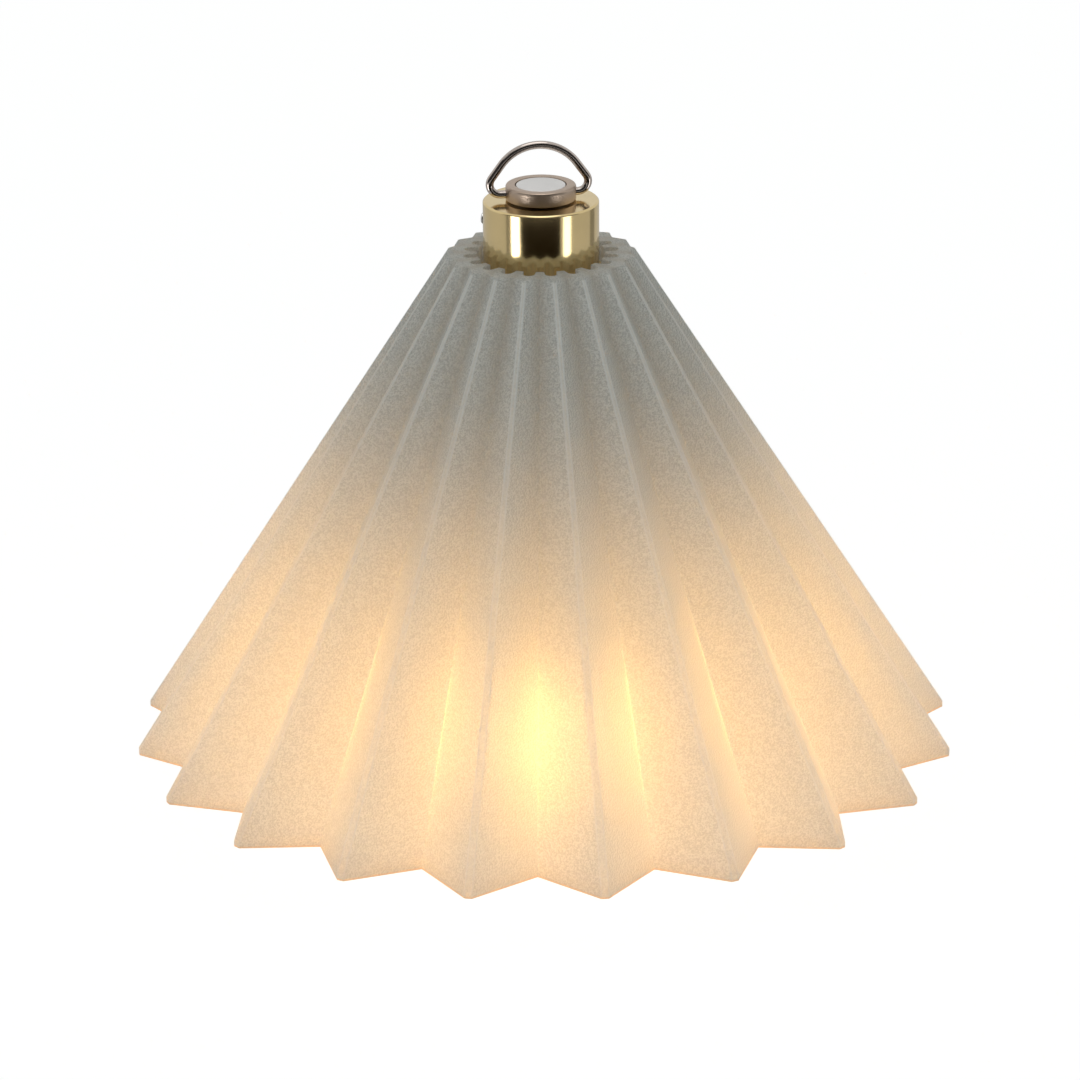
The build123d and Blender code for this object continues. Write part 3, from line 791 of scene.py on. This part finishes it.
@dataclass(frozen=True)
class RibbonCable(Finish):
    """Amber film with the copper conductors showing through, in metres."""

    name: str
    film: Colour = (0.62, 0.34, 0.07)
    copper: Colour = (0.80, 0.45, 0.20)
    pitch: float = 0.0005
    stripe_edge: Point = (0.16, 0.24)
    haze: float = 0.002
    roughness: Point = (0.25, 0.15)
    coat: float = 0.3
    relief: float = 0.00002

    def make(self) -> Material:
        """Builds the film with stripes along the ribbon.

        Returns:
            The material.
        """
        shading = Shading(self.name)
        x, _, _ = shading.axes()
        stripe = (x / self.pitch).math("PINGPONG", 0.5).step(*self.stripe_edge)
        return shading.finish(shading.principled({
            "Base Color": shading.mix(stripe, self.film, self.copper),
            "Roughness": shading.noise(self.haze).ramp(*self.roughness),
            "Coat Weight": self.coat, "Normal": shading.bump(stripe, self.relief)}))


POLISHED_BRASS = Metal("polished_brass", (0.84, 0.66, 0.34), 0.14, 0.0000016, 0.05)
SATIN_BRASS = Metal("satin_brass", (0.72, 0.56, 0.29), 0.30, 0.000004)
KNURLED_BRASS = Metal("knurled_brass", (0.72, 0.56, 0.29), 0.28, knurls=96)
SATIN_STEEL = Metal("satin_steel", (0.54, 0.43, 0.34), 0.37, 0.00004)
BRIGHT_WIRE = Metal("bright_wire", (0.58, 0.51, 0.46), 0.12, 0.0, 0.04)
BRIGHT_SHELL = Metal("bright_shell", (0.76, 0.76, 0.75), 0.22, 0.0)
MAGNET_NICKEL = Metal("magnet_nickel", (0.84, 0.83, 0.81), 0.42, 0.000002, 0.1)
TURNED_ALUMINIUM = Metal("turned_aluminium", (0.82, 0.83, 0.84), 0.34, 0.000008)
SPRING_BRASS = Metal("spring_brass", (0.80, 0.62, 0.33), 0.3, 0.0)
SOFT_SILICONE = Moulded("soft_silicone", (0.10, 0.10, 0.10), 0.72, 0.0003)
CLEAR_SILICONE = Moulded("clear_silicone", (0.74, 0.75, 0.73), 0.55, 0.0005)
BLACK_PLASTIC = Moulded("black_plastic", (0.03, 0.03, 0.032), 0.48, 0.00025, 0.00002)
WHITE_PLASTIC = Moulded("white_plastic", (0.88, 0.88, 0.86), 0.42, 0.0004)
PART_PLASTIC = Moulded("part_plastic", (0.05, 0.05, 0.055), 0.40, 0.0002, 0.00001)
BOARD_GREEN = CircuitBoard("board_green", (0.03, 0.16, 0.08), (0.08, 0.30, 0.15))
BOARD_WHITE = CircuitBoard("board_white", (0.84, 0.84, 0.82), (0.70, 0.68, 0.62))
CHIPS = LightChips("light_chips")
WRAP = ShrinkFilm("cell_wrap", (0.10, 0.28, 0.50), (31.0, 66.0))
RIBBON = RibbonCable("ribbon_cable")
GLOW = Glowing("lit_diffuser")


# --- Shade -------------------------------------------------------------------
@dataclass
class Shade:
    """The pleated cone and its notched top ring, in millimetres."""

    pleats: int = 20
    hem_z: float = 11.0
    land: float = 1.0
    height: float = 83.8
    crests: Point = (68.0, 15.3)
    valleys: Point = (59.15, 14.07)
    crest_widths: Point = (1.2, 0.45)
    wall: float = 2.0
    ring: float = 4.0
    hole: float = 10.4
    notch_width: float = 2.0
    notch_reach: float = 12.65
    rows: int = 14
    round_end: int = 8
    edge_round: float = 0.09
    rounded_from: float = 24.0
    smooth_below: float = 60.0

    @property
    def top(self) -> float:
        """Height of the top face."""
        return self.hem_z + self.height

    def share(self, z: float) -> float:
        """How far up the slope a height lies, from 0 to 1."""
        return max(0.0, z - self.hem_z - self.land) / (self.height - self.land)

    def at(self, ends: Point, z: float) -> float:
        """A size at a height, from its values at the hem and the top."""
        return ends[0] + (ends[1] - ends[0]) * self.share(z)

    def outer(self, z: float) -> list[Vector]:
        """Finds the outside: two corners on each crest and one in each valley.

        Args:
            z: the height, in millimetres.

        Returns:
            The corners, in metres.
        """
        crest, valley = self.at(self.crests, z), self.at(self.valleys, z)
        half = self.at(self.crest_widths, z) / 2 / crest
        points = []
        for pleat in range(self.pleats):
            angle = math.tau * pleat / self.pleats
            points += [self.polar(crest, angle - half, z), self.polar(crest, angle + half, z)]
            points += [self.polar(valley, angle + math.pi / self.pleats, z)]
        return points

    def inner(self, z: float) -> list[Vector]:
        """Finds the inside, one wall away from the outside.

        Args:
            z: the height, in millimetres.

        Returns:
            The corners, in metres.
        """
        crest, valley = self.at(self.crests, z), self.at(self.valleys, z)
        side = self.polar(valley, math.pi / self.pleats, 0) / MM
        inset = self.wall * math.hypot(side.x, crest + side.y) / side.x
        points = []
        for pleat in range(self.pleats):
            angle = math.tau * pleat / self.pleats
            points.append(self.polar(crest - inset, angle, z))
            points.append(self.polar(valley - inset, angle + math.pi / self.pleats, z))
        return points

    def polar(self, radius: float, angle: float, z: float) -> Vector:
        """A point at an angle from the front, towards +X."""
        return Vector((radius * math.sin(angle), -radius * math.cos(angle), z)) * MM

    def notched(self, z: float) -> list[Vector]:
        """Finds the edge of the hole: teeth with a round-ended notch between.

        Args:
            z: the height, in millimetres.

        Returns:
            The corners, in metres.
        """
        half = self.notch_width / 2
        end = self.notch_reach - half
        mouth = math.asin(half / self.hole)
        points = []
        for pleat in range(self.pleats):
            angle = math.tau * pleat / self.pleats
            points.append(self.polar(self.hole, angle - mouth, z))
            turn = Matrix.Rotation(angle, 4, "Z")
            for step in range(self.round_end + 1):
                bend = math.pi * step / self.round_end
                local = Vector((-half * math.cos(bend), -end - half * math.sin(bend), z)) * MM
                points.append(turn @ local)
            points.append(self.polar(self.hole, angle + mouth, z))
            points.append(self.polar(self.hole, angle + math.pi / self.pleats, z))
        return points

    def loop(self, bm: Mesh, points: Iterable[Vector]) -> list[bmesh.types.BMEdge]:
        """Adds a closed loop of edges through points."""
        verts = [bm.verts.new(point) for point in points]
        return [bm.edges.new(pair) for pair in zip(verts, verts[1:] + verts[:1])]

    def wall_up(self, bm: Mesh, outline: Callable[[float], list[Vector]],
                heights: Iterable[float]) -> tuple[list, list]:
        """Extrudes an outline upwards, row by row.

        Args:
            bm: the mesh.
            outline: the outline's points at a height.
            heights: height of each row.

        Returns:
            The edge loops at the bottom and at the top.
        """
        heights = list(heights)
        bottom = loop = self.loop(bm, outline(heights[0]))
        for z in heights[1:]:
            old = [edge.verts[0] for edge in loop]
            new = bmesh.ops.extrude_edge_only(bm, edges=loop)["geom"]
            faces = [item for item in new if isinstance(item, bmesh.types.BMFace)]
            above = {}
            for face in faces:
                for edge in face.edges:
                    ends = [vert for vert in edge.verts if vert in old]
                    if len(ends) == 1:
                        above[ends[0]] = edge.other_vert(ends[0])
            for vert, point in zip(old, outline(z)):
                above[vert].co = point
            ring = [above[vert] for vert in old]
            loop = [bm.edges.get(pair) for pair in zip(ring, ring[1:] + ring[:1])]
        return bottom, loop

    def mesh(self) -> Mesh:
        """Builds the outer wall, inner wall, hem, ring and notched hole.

        Returns:
            The shade's mesh, with its edges still sharp.
        """
        bm = bmesh.new()
        ring_z = self.top - self.ring
        slope = self.hem_z + self.land
        rows = [slope + (self.top - slope) * row / self.rows for row in range(self.rows + 1)]
        inner_rows = [slope + (ring_z - slope) * row / self.rows for row in range(self.rows + 1)]
        outer_low, outer_top = self.wall_up(bm, self.outer, [self.hem_z, *rows])
        inner_low, inner_top = self.wall_up(bm, self.inner, [self.hem_z, *inner_rows])
        hole_low, hole_top = self.wall_up(bm, self.notched, [ring_z, self.top])
        for loops in (outer_low + inner_low, outer_top + hole_top, inner_top + hole_low):
            bmesh.ops.triangle_fill(bm, use_beauty=True, edges=loops, normal=(0, 0, 1))
        bmesh.ops.recalc_face_normals(bm, faces=bm.faces)
        return bm

    def build(self) -> None:
        """Makes the shade and dresses it."""
        bm = self.mesh()
        soften(bm, self.edge_round, self.rounded_from)
        smooth(bm, self.smooth_below)
        slope = (self.hem_z + self.land, self.top)
        finish = FrostedResin(self.pleats, self.hem_z, slope, self.crest_widths)
        piece = new_piece("pleated_shade", bm, finish, "shade", ["shade"])
        weigh_normals(piece)


# --- Lamp's head -------------------------------------------------------------
@dataclass
class Head:
    """Collar, button, magnet and bail, in millimetres; a profile's third number is its rounding."""

    collar_radius: float = 9.4
    collar_low: float = 92.5
    collar_top: float = 103.7
    collar_bore: float = 2.58
    stem_bore: float = 8.0
    roof: float = 2.5
    stud_radius: float = 5.7
    stud_low: float = 103.98
    stud_top: float = 106.3
    shank_radius: float = 2.5
    shank_low: float = 98.6
    groove_radius: float = 2.0
    groove: Point = (100.6, 101.2)
    pocket_radius: float = 4.17
    magnet_radius: float = 4.03
    magnet_top: float = 106.25
    pocket_floor: float = 104.75
    wire_radius: float = 0.65
    pivot_z: float = 104.85
    arch_radius: float = 7.5
    arch_angle: float = 54.0
    arch_height: float = 8.0
    corner_radius: float = 1.7
    corner_steps: int = 10
    arch_steps: int = 16
    wire_end: float = 4.9
    wire_sides: int = 24
    slid: float = -0.3
    chamfer: float = 0.25
    head_round: float = 0.42
    magnet_round: float = 0.2

    def build_collar(self) -> None:
        """Polished collar with a chamfered rim and a bore for the button."""
        roof, top, rim = self.collar_top - self.roof, self.collar_top, self.collar_radius
        profile = rounded([
            (self.collar_bore, roof, 0), (self.stem_bore, roof, 0.1),
            (self.stem_bore, self.collar_low, 0.1), (rim, self.collar_low, 0.15),
            (rim, top - self.chamfer, 0.08), (rim - self.chamfer, top, 0.08),
            (self.collar_bore, top, 0.1)])
        new_piece("polished_collar", lathe(profile, 160), POLISHED_BRASS, "lantern",
                  ["head_collar"])

    def build_button(self) -> None:
        """Button's head with its grooved shank."""
        low, high = self.groove
        profile = rounded([
            (0.0, self.shank_low, 0), (self.shank_radius, self.shank_low, 0.15),
            (self.shank_radius, low, 0), (self.groove_radius, low, 0),
            (self.groove_radius, high, 0), (self.shank_radius, high, 0),
            (self.shank_radius, self.stud_low, 0.1), (self.stud_radius, self.stud_low, 0.08),
            (self.stud_radius, self.stud_top, self.head_round),
            (self.pocket_radius, self.stud_top, 0.10), (self.pocket_radius, self.pocket_floor, 0),
            (0.0, self.pocket_floor, 0)])
        new_piece("button_head", lathe(profile, 128, closed=False), SATIN_STEEL, "button",
                  ["button_stud"])

    def build_magnet(self) -> None:
        """Magnet in the button's pocket, with a softly rolled edge."""
        disc = rounded([
            (0.0, self.pocket_floor, 0), (self.magnet_radius, self.pocket_floor, 0),
            (self.magnet_radius, self.magnet_top, self.magnet_round), (0.0, self.magnet_top, 0)])
        new_piece("button_magnet", lathe(disc, 96, closed=False), MAGNET_NICKEL, "button",
                  ["stud_magnet"])

    def on_arch(self, angle: float) -> Vector:
        """A point of the arch, at an angle from its top."""
        radius, centre = self.arch_radius, self.arch_height - self.arch_radius
        return Vector((radius * math.sin(angle), centre + radius * math.cos(angle)))

    def wire_path(self) -> list[Vector]:
        """Finds the bail's centre line: an end, a corner, a flank, the arch and back.

        Returns:
            Its points, in metres.
        """
        lean = math.radians(self.arch_angle)
        arch_end = self.on_arch(lean)
        corner = arch_end.x + arch_end.y / math.tan(lean)
        pull = self.corner_radius * math.tan((math.pi - lean) / 2)
        half = [Vector((self.wire_end, 0.0))]
        for step in range(self.corner_steps + 1):
            turn = (math.pi - lean) * step / self.corner_steps
            half.append(Vector((corner - pull + self.corner_radius * math.sin(turn),
                                self.corner_radius * (1 - math.cos(turn)))))
        for step in range(self.arch_steps + 1):
            half.append(self.on_arch(lean * (1 - step / self.arch_steps)))
        line = half + [Vector((-p.x, p.y)) for p in reversed(half[:-1])]
        return [Vector((self.slid + p.x, 0, self.pivot_z + p.y)) * MM for p in line]

    def build_bail(self) -> None:
        """Sweeps the round wire along its centre line."""
        path = self.wire_path()
        bm = bmesh.new()
        made = bmesh.ops.create_circle(bm, cap_ends=False, segments=self.wire_sides,
                                       radius=self.wire_radius * MM)
        ring = made["verts"]
        edges = list({edge for vert in ring for edge in vert.link_edges})
        previous = None
        for index, point in enumerate(path):
            ahead = path[min(index + 1, len(path) - 1)] - path[max(index - 1, 0)]
            place = Matrix.Translation(point) @ self.facing(ahead)
            if previous is not None:
                new = bmesh.ops.extrude_edge_only(bm, edges=edges)["geom"]
                ring = [item for item in new if isinstance(item, bmesh.types.BMVert)]
                edges = [item for item in new if isinstance(item, bmesh.types.BMEdge)
                         and all(vert in ring for vert in item.verts)]
                bmesh.ops.transform(bm, matrix=place @ previous.inverted(), verts=ring)
            else:
                bmesh.ops.transform(bm, matrix=place, verts=ring)
                bmesh.ops.contextual_create(bm, geom=edges)
            previous = place
        bmesh.ops.contextual_create(bm, geom=edges)
        bmesh.ops.recalc_face_normals(bm, faces=bm.faces)
        smooth(bm, 50)
        new_piece("wire_bail", bm, BRIGHT_WIRE, "bail", ["hanging_bail"])

    def facing(self, ahead: Vector) -> Matrix:
        """Finds the turn that points Z along the wire and keeps Y level.

        Args:
            ahead: the wire's direction.

        Returns:
            The turn, as a 4 by 4 matrix.
        """
        z_axis = ahead.normalized()
        y_axis = Vector((0, 1, 0))
        x_axis = y_axis.cross(z_axis)
        return Matrix((x_axis, y_axis, z_axis)).transposed().to_4x4()

    def build(self) -> None:
        """Makes every piece of the head."""
        self.build_collar()
        self.build_button()
        self.build_magnet()
        self.build_bail()


# --- Lantern -----------------------------------------------------------------
class Turned(Enum):
    """Round pieces: name, node, slot, finish and outline as radius, height and rounding."""

    FOOT_PAD = ("foot_disc", "foot_pad", "soft_silicone", SOFT_SILICONE, (
        (0.0, 0.35, 0), (4.0, 0.35, 0.1), (4.35, 0.0, 0.1), (10.8, 0.0, 0.3), (10.8, 1.6, 0.1),
        (0.0, 1.6, 0)))
    FOOT_CAP = ("foot_base", "foot_cap", "satin_brass", SATIN_BRASS, (
        (1.3, 2.6, 0), (2.25, 1.6, 0.05), (10.85, 1.6, 0.05), (10.85, 0.8, 0.08),
        (11.6, 0.8, 0.08), (12.0, 1.2, 0.08), (12.0, 3.4, 0.4), (1.3, 3.4, 0)))
    DIFFUSER = ("lit_cup", "diffuser", "frosted_diffuser", GLOW, (
        (0.0, 3.4, 0), (11.2, 3.4, 0.5), (11.2, 25.5, 0.1), (11.6, 25.5, 0.1), (11.6, 26.6, 0.1),
        (9.8, 26.6, 0.1), (9.8, 4.9, 0.5), (3.0, 4.9, 0.3), (3.0, 9.9, 0.3), (0.0, 9.9, 0)))
    LENS_RING = ("clamp_ring", "lens_ring", "satin_brass", KNURLED_BRASS, (
        (11.25, 23.9, 0.05), (12.2, 23.9, 0.08), (12.6, 24.3, 0.08), (12.6, 30.8, 0.08),
        (12.4, 31.0, 0.08), (11.65, 31.0, 0.05), (11.65, 25.5, 0), (11.25, 25.5, 0)))
    GASKET = ("flange_seal", "lens_gasket", "soft_silicone", SOFT_SILICONE, (
        (10.0, 26.6, 0), (11.6, 26.6, 0.1), (11.6, 27.0, 0.1), (10.0, 27.0, 0)))
    REFLECTOR = ("flared_reflector", "reflector", "white_plastic", WHITE_PLASTIC, (
        (9.2, 23.8, 0.05), (9.7, 23.8, 0.05), (9.7, 26.0, 0.05), (8.2, 26.0, 0.05)))
    SEAT_RING = ("shade_seat", "seat_ring", "clear_silicone", CLEAR_SILICONE, (
        (9.9, 90.1, 0), (12.0, 90.1, 0.15), (12.0, 90.8, 0.15), (9.9, 90.8, 0)))


class Copied(Enum):
    """CAD nodes copied with softer edges: body, slot, finish and rounding in millimetres."""

    BATTERY_TUBE = ("lantern", "satin_brass", SATIN_BRASS, 0.10)
    BODY_CAP = ("lantern", "satin_brass", SATIN_BRASS, 0.06)
    FOOT_SCREW = ("lantern", "satin_steel", SATIN_STEEL, 0.05)
    CHARGE_SOCKET = ("lantern", "bright_wire", BRIGHT_SHELL, 0.04)
    PORT_FRAME = ("lantern", "black_plastic", BLACK_PLASTIC, 0.12)
    PORT_HINGE_PIN = ("lantern", "satin_steel", SATIN_STEEL, 0.03)
    PORT_COVER = ("port_cover", "black_plastic", BLACK_PLASTIC, 0.12)
    COLLAR_SET_SCREW = ("lantern", "bright_wire", BRIGHT_SHELL, 0.0)
    BUTTON_CLIP = ("button", "bright_wire", BRIGHT_SHELL, 0.05)


class Kept(Enum):
    """CAD nodes that stay as they are, inside the lantern, with their finishes."""

    LED_BOARD = BOARD_WHITE
    LED_CHIPS = CHIPS
    LED_SCREW_LEFT = SATIN_STEEL
    LED_SCREW_RIGHT = Metal("satin_steel_screw", (0.70, 0.64, 0.61), 0.24, 0.000003)
    HEAT_SPREADER = TURNED_ALUMINIUM
    BATTERY_CELL = WRAP
    CELL_SLEEVE = Moulded("sleeve_plastic", (0.04, 0.04, 0.042), 0.5)
    NEGATIVE_CONTACT = SPRING_BRASS
    POSITIVE_CONTACT = Metal("contact_brass", (0.82, 0.65, 0.36), 0.26, 0.0)
    LED_CABLE = RIBBON
    SWITCH_CABLE = RibbonCable("switch_ribbon", (0.58, 0.32, 0.07))
    DRIVER_BOARD = BOARD_GREEN
    SWITCH_BOARD = CircuitBoard("switch_green", (0.03, 0.15, 0.08), (0.08, 0.28, 0.14))
    DRIVER_PARTS = PART_PLASTIC
    TACT_SWITCH = Moulded("switch_plastic", (0.06, 0.06, 0.065), 0.42, 0.0002)
    SWITCH_PLUNGER = Moulded("plunger_plastic", (0.05, 0.05, 0.05), 0.45, 0.0002)


@dataclass
class Lantern:
    """The lit body inside the shade."""

    segments: int = 128

    def turn(self) -> None:
        """Turns the round pieces."""
        for piece in Turned:
            name, node, slot, finish, outline = piece.value
            closed = outline[0][0] > 0
            bm = lathe(rounded(outline), self.segments, closed)
            new_piece(name, bm, finish, "lantern", [node])

    def copy(self) -> None:
        """Copies the nodes with windows, slots and flats."""
        for piece in Copied:
            body, slot, finish, bevel = piece.value
            node = piece.name.lower()
            new_piece(f"{node}_dressed", node_copy(node, bevel), finish, body, [node])

    def keep(self) -> None:
        """Gives the inner CAD nodes their finishes."""
        for piece in Kept:
            node = frame["nodes"][piece.name.lower()]
            node.data.materials.clear()
            node.data.materials.append(piece.value.material())
            log.info("%s: CAD node in %s", piece.name.lower(), piece.value.material().name)

    def build(self) -> None:
        """Makes and dresses every piece of the lantern."""
        self.turn()
        self.copy()
        self.keep()


# --- Stage -------------------------------------------------------------------
def direction(turn: float, rise: float) -> Vector:
    """Finds a direction from the lamp.

    Args:
        turn: degrees from the front, towards +X.
        rise: degrees above the table.

    Returns:
        The direction, 1 long.
    """
    turn, rise = math.radians(turn), math.radians(rise)
    level = math.cos(rise)
    return Vector((math.sin(turn) * level, -math.cos(turn) * level, math.sin(rise)))


def stage_piece(name: str, bm: Mesh, material: Material) -> Object:
    """Makes a piece of the stage.

    Args:
        name: its name.
        bm: its mesh, which is freed.
        material: its material.

    Returns:
        The new object.
    """
    piece = new_object(name, bm, material)
    return piece


@dataclass(frozen=True)
class Card:
    """A card round the lamp that only polished surfaces mirror: a line spun between two angles.

    Angles are in degrees from the camera's side, towards +X; the line's two ends are a distance
    from the axis and a height, in metres.
    """

    name: str
    angles: Point
    brightness: float
    colour: Colour = WHITE
    start: Point = (0.15, 0.001)
    end: Point = (0.60, 0.001)
    steps: int = 24

    def build(self, front: float) -> None:
        """Sets the card up.

        Args:
            front: the camera's direction from the lamp, in degrees from -Y towards +X.
        """
        shading = Shading(self.name)
        sheet = shading.flat("ShaderNodeEmission", self.colour, self.brightness)
        first, last = (math.radians(angle) for angle in self.angles)
        bm = bmesh.new()
        verts = [bm.verts.new((0, -away, height)) for away, height in (self.start, self.end)]
        edge = bm.edges.new(verts)
        bmesh.ops.rotate(bm, cent=(0, 0, 0), verts=verts,
                         matrix=Matrix.Rotation(math.radians(front) + first, 3, "Z"))
        bmesh.ops.spin(bm, geom=[*verts, edge], cent=(0, 0, 0), axis=(0, 0, 1), steps=self.steps,
                       angle=last - first)
        card = stage_piece(self.name, bm, shading.finish(sheet))
        card.visible_camera = card.visible_diffuse = False
        card.visible_transmission = card.visible_shadow = False


@dataclass(frozen=True)
class SoftLight:
    """A soft light that points at the lamp: degrees, metres and watts."""

    name: str
    turn: float
    rise: float
    size: Point
    power: float
    distance: float = 1.2
    aim_height: float = 0.05

    def build(self) -> None:
        """Sets the light up."""
        away = direction(self.turn, self.rise)
        data = bpy.data.lights.new(self.name, "AREA")
        data.shape, data.energy = "RECTANGLE", self.power
        data.size, data.size_y = self.size
        light = bpy.data.objects.new(self.name, data)
        place = Matrix.Translation(away * self.distance + Vector((0, 0, self.aim_height)))
        light.matrix_world = place @ away.to_track_quat("Z", "Y").to_matrix().to_4x4()
        bpy.context.scene.collection.objects.link(light)


@dataclass
class Studio:
    """Floor, light and camera; sizes in metres."""

    distance: float = 0.80368
    lens: float = 161.96
    sensor: float = 36.0
    clip: Point = (0.05, 20.0)
    azimuth: float = -7.744
    elevation: float = 20.825
    roll: float = 0.429
    aim_side: float = -0.00055
    aim_height: float = 0.045
    room: Colour = (0.93, 1.02, 0.98)
    grey: float = 0.38
    mirrored: float = 0.72
    mirrored_floor: float = 0.52
    floor_lit: float = 0.8
    floor_shadow: float = 0.16
    floor_white: float = 0.93
    floor_half: float = 3.0
    floor_z: float = -0.00005
    lights: tuple[SoftLight, ...] = (
        SoftLight("left_soft_light", -65, 25, (0.5, 1.0), 0.85),
        SoftLight("right_soft_light", 60, 25, (0.5, 1.0), 0.45),
        SoftLight("top_soft_light", 0, 86, (0.8, 0.8), 0.7),
    )
    cards: tuple[Card, ...] = (
        Card("dark_table_card", (-40.0, 38.0), 0.012, (1.0, 0.7, 0.35)),
        Card("left_strip", (-60.0, -43.0), 5.0),
        Card("left_brown_strip", (-72.0, -62.0), 0.22),
        Card("right_strip", (44.0, 60.0), 3.0),
        Card("right_brown_strip", (112.0, 130.0), 0.25),
        Card("dark_front_wall", (-80.0, 80.0), 0.03, start=(1.0, 0.05), end=(1.0, 1.25)),
        Card("roof_light", (0.0, 360.0), 1.6, start=(0.05, 1.3), end=(0.45, 1.3)),
    )

    def camera(self) -> None:
        """Places the camera at the photograph's angle and distance."""
        turn, roll = math.radians(self.azimuth), math.radians(self.roll)
        right = Vector((math.cos(turn), math.sin(turn), 0))
        back = direction(self.azimuth, self.elevation)
        up = back.cross(right)
        x_axis = right * math.cos(roll) - up * math.sin(roll)
        y_axis = right * math.sin(roll) + up * math.cos(roll)
        data = bpy.data.cameras.new("camera")
        data.sensor_fit, data.sensor_width, data.lens = "HORIZONTAL", self.sensor, self.lens
        data.clip_start, data.clip_end = self.clip
        camera = bpy.data.objects.new("camera", data)
        aim = right * self.aim_side + Vector((0, 0, self.aim_height))
        camera.matrix_world = Matrix.Translation(aim + back * self.distance) @ Matrix(
            (x_axis, y_axis, back)).transposed().to_4x4()
        bpy.context.scene.collection.objects.link(camera)
        bpy.context.scene.camera = camera

    def floor(self) -> None:
        """Lays the pale floor.

        It is white to the camera and through glass, but for a faint shadow, grey in metal, and
        open from below.
        """
        shading = Shading("pale_floor")
        path = shading.node("ShaderNodeLightPath")
        lit, faint = (
            shading.node("ShaderNodeBsdfDiffuse", None, {"Color": (pale, pale, pale)}).outputs[0]
            for pale in (self.floor_lit, self.floor_shadow))
        glare, mirrored = (shading.flat("ShaderNodeEmission", WHITE, brightness)
                           for brightness in (self.floor_white, self.mirrored_floor))
        white = shading.node("ShaderNodeAddShader", None, {0: faint, 1: glare}).outputs[0]
        seen = shading.blend(path.outputs["Is Camera Ray"], lit, white)
        seen = shading.blend(path.outputs["Is Transmission Ray"], seen, white)
        seen = shading.blend(path.outputs["Is Glossy Ray"], seen, mirrored)
        below = shading.node("ShaderNodeNewGeometry").outputs["Backfacing"]
        seen = shading.blend(below, seen, shading.node("ShaderNodeBsdfTransparent").outputs[0])
        bm = bmesh.new()
        bmesh.ops.create_grid(bm, x_segments=1, y_segments=1, size=self.floor_half)
        bmesh.ops.translate(bm, verts=bm.verts, vec=(0, 0, self.floor_z))
        stage_piece("floor", bm, shading.finish(seen))

    def world(self) -> None:
        """White to the camera and through glass, grey in metal, a soft cool room to the rest."""
        shading = Shading("studio", world=True)
        path = shading.node("ShaderNodeLightPath")
        seen = shading.flat("ShaderNodeBackground", self.room, self.grey)
        rays = {"Is Glossy Ray": self.mirrored, "Is Transmission Ray": 1.0, "Is Camera Ray": 1.0}
        for ray, brightness in rays.items():
            plain = shading.flat("ShaderNodeBackground", WHITE, brightness)
            seen = shading.blend(path.outputs[ray], seen, plain)
        bpy.context.scene.world = shading.finish(seen)

    def build(self) -> None:
        """Sets the stage."""
        bpy.context.scene.view_settings.view_transform = "Standard"
        self.camera()
        self.floor()
        self.world()
        for light in self.lights:
            light.build()
        for card in self.cards:
            card.build(self.azimuth)


def main() -> None:
    """Builds the stage and the lamp."""
    logging.basicConfig(level=logging.INFO)
    for part in (Studio(), Shade(), Head(), Lantern()):
        part.build()
        log.info("built %s", type(part).__name__)


if __name__ == "__main__":
    main()
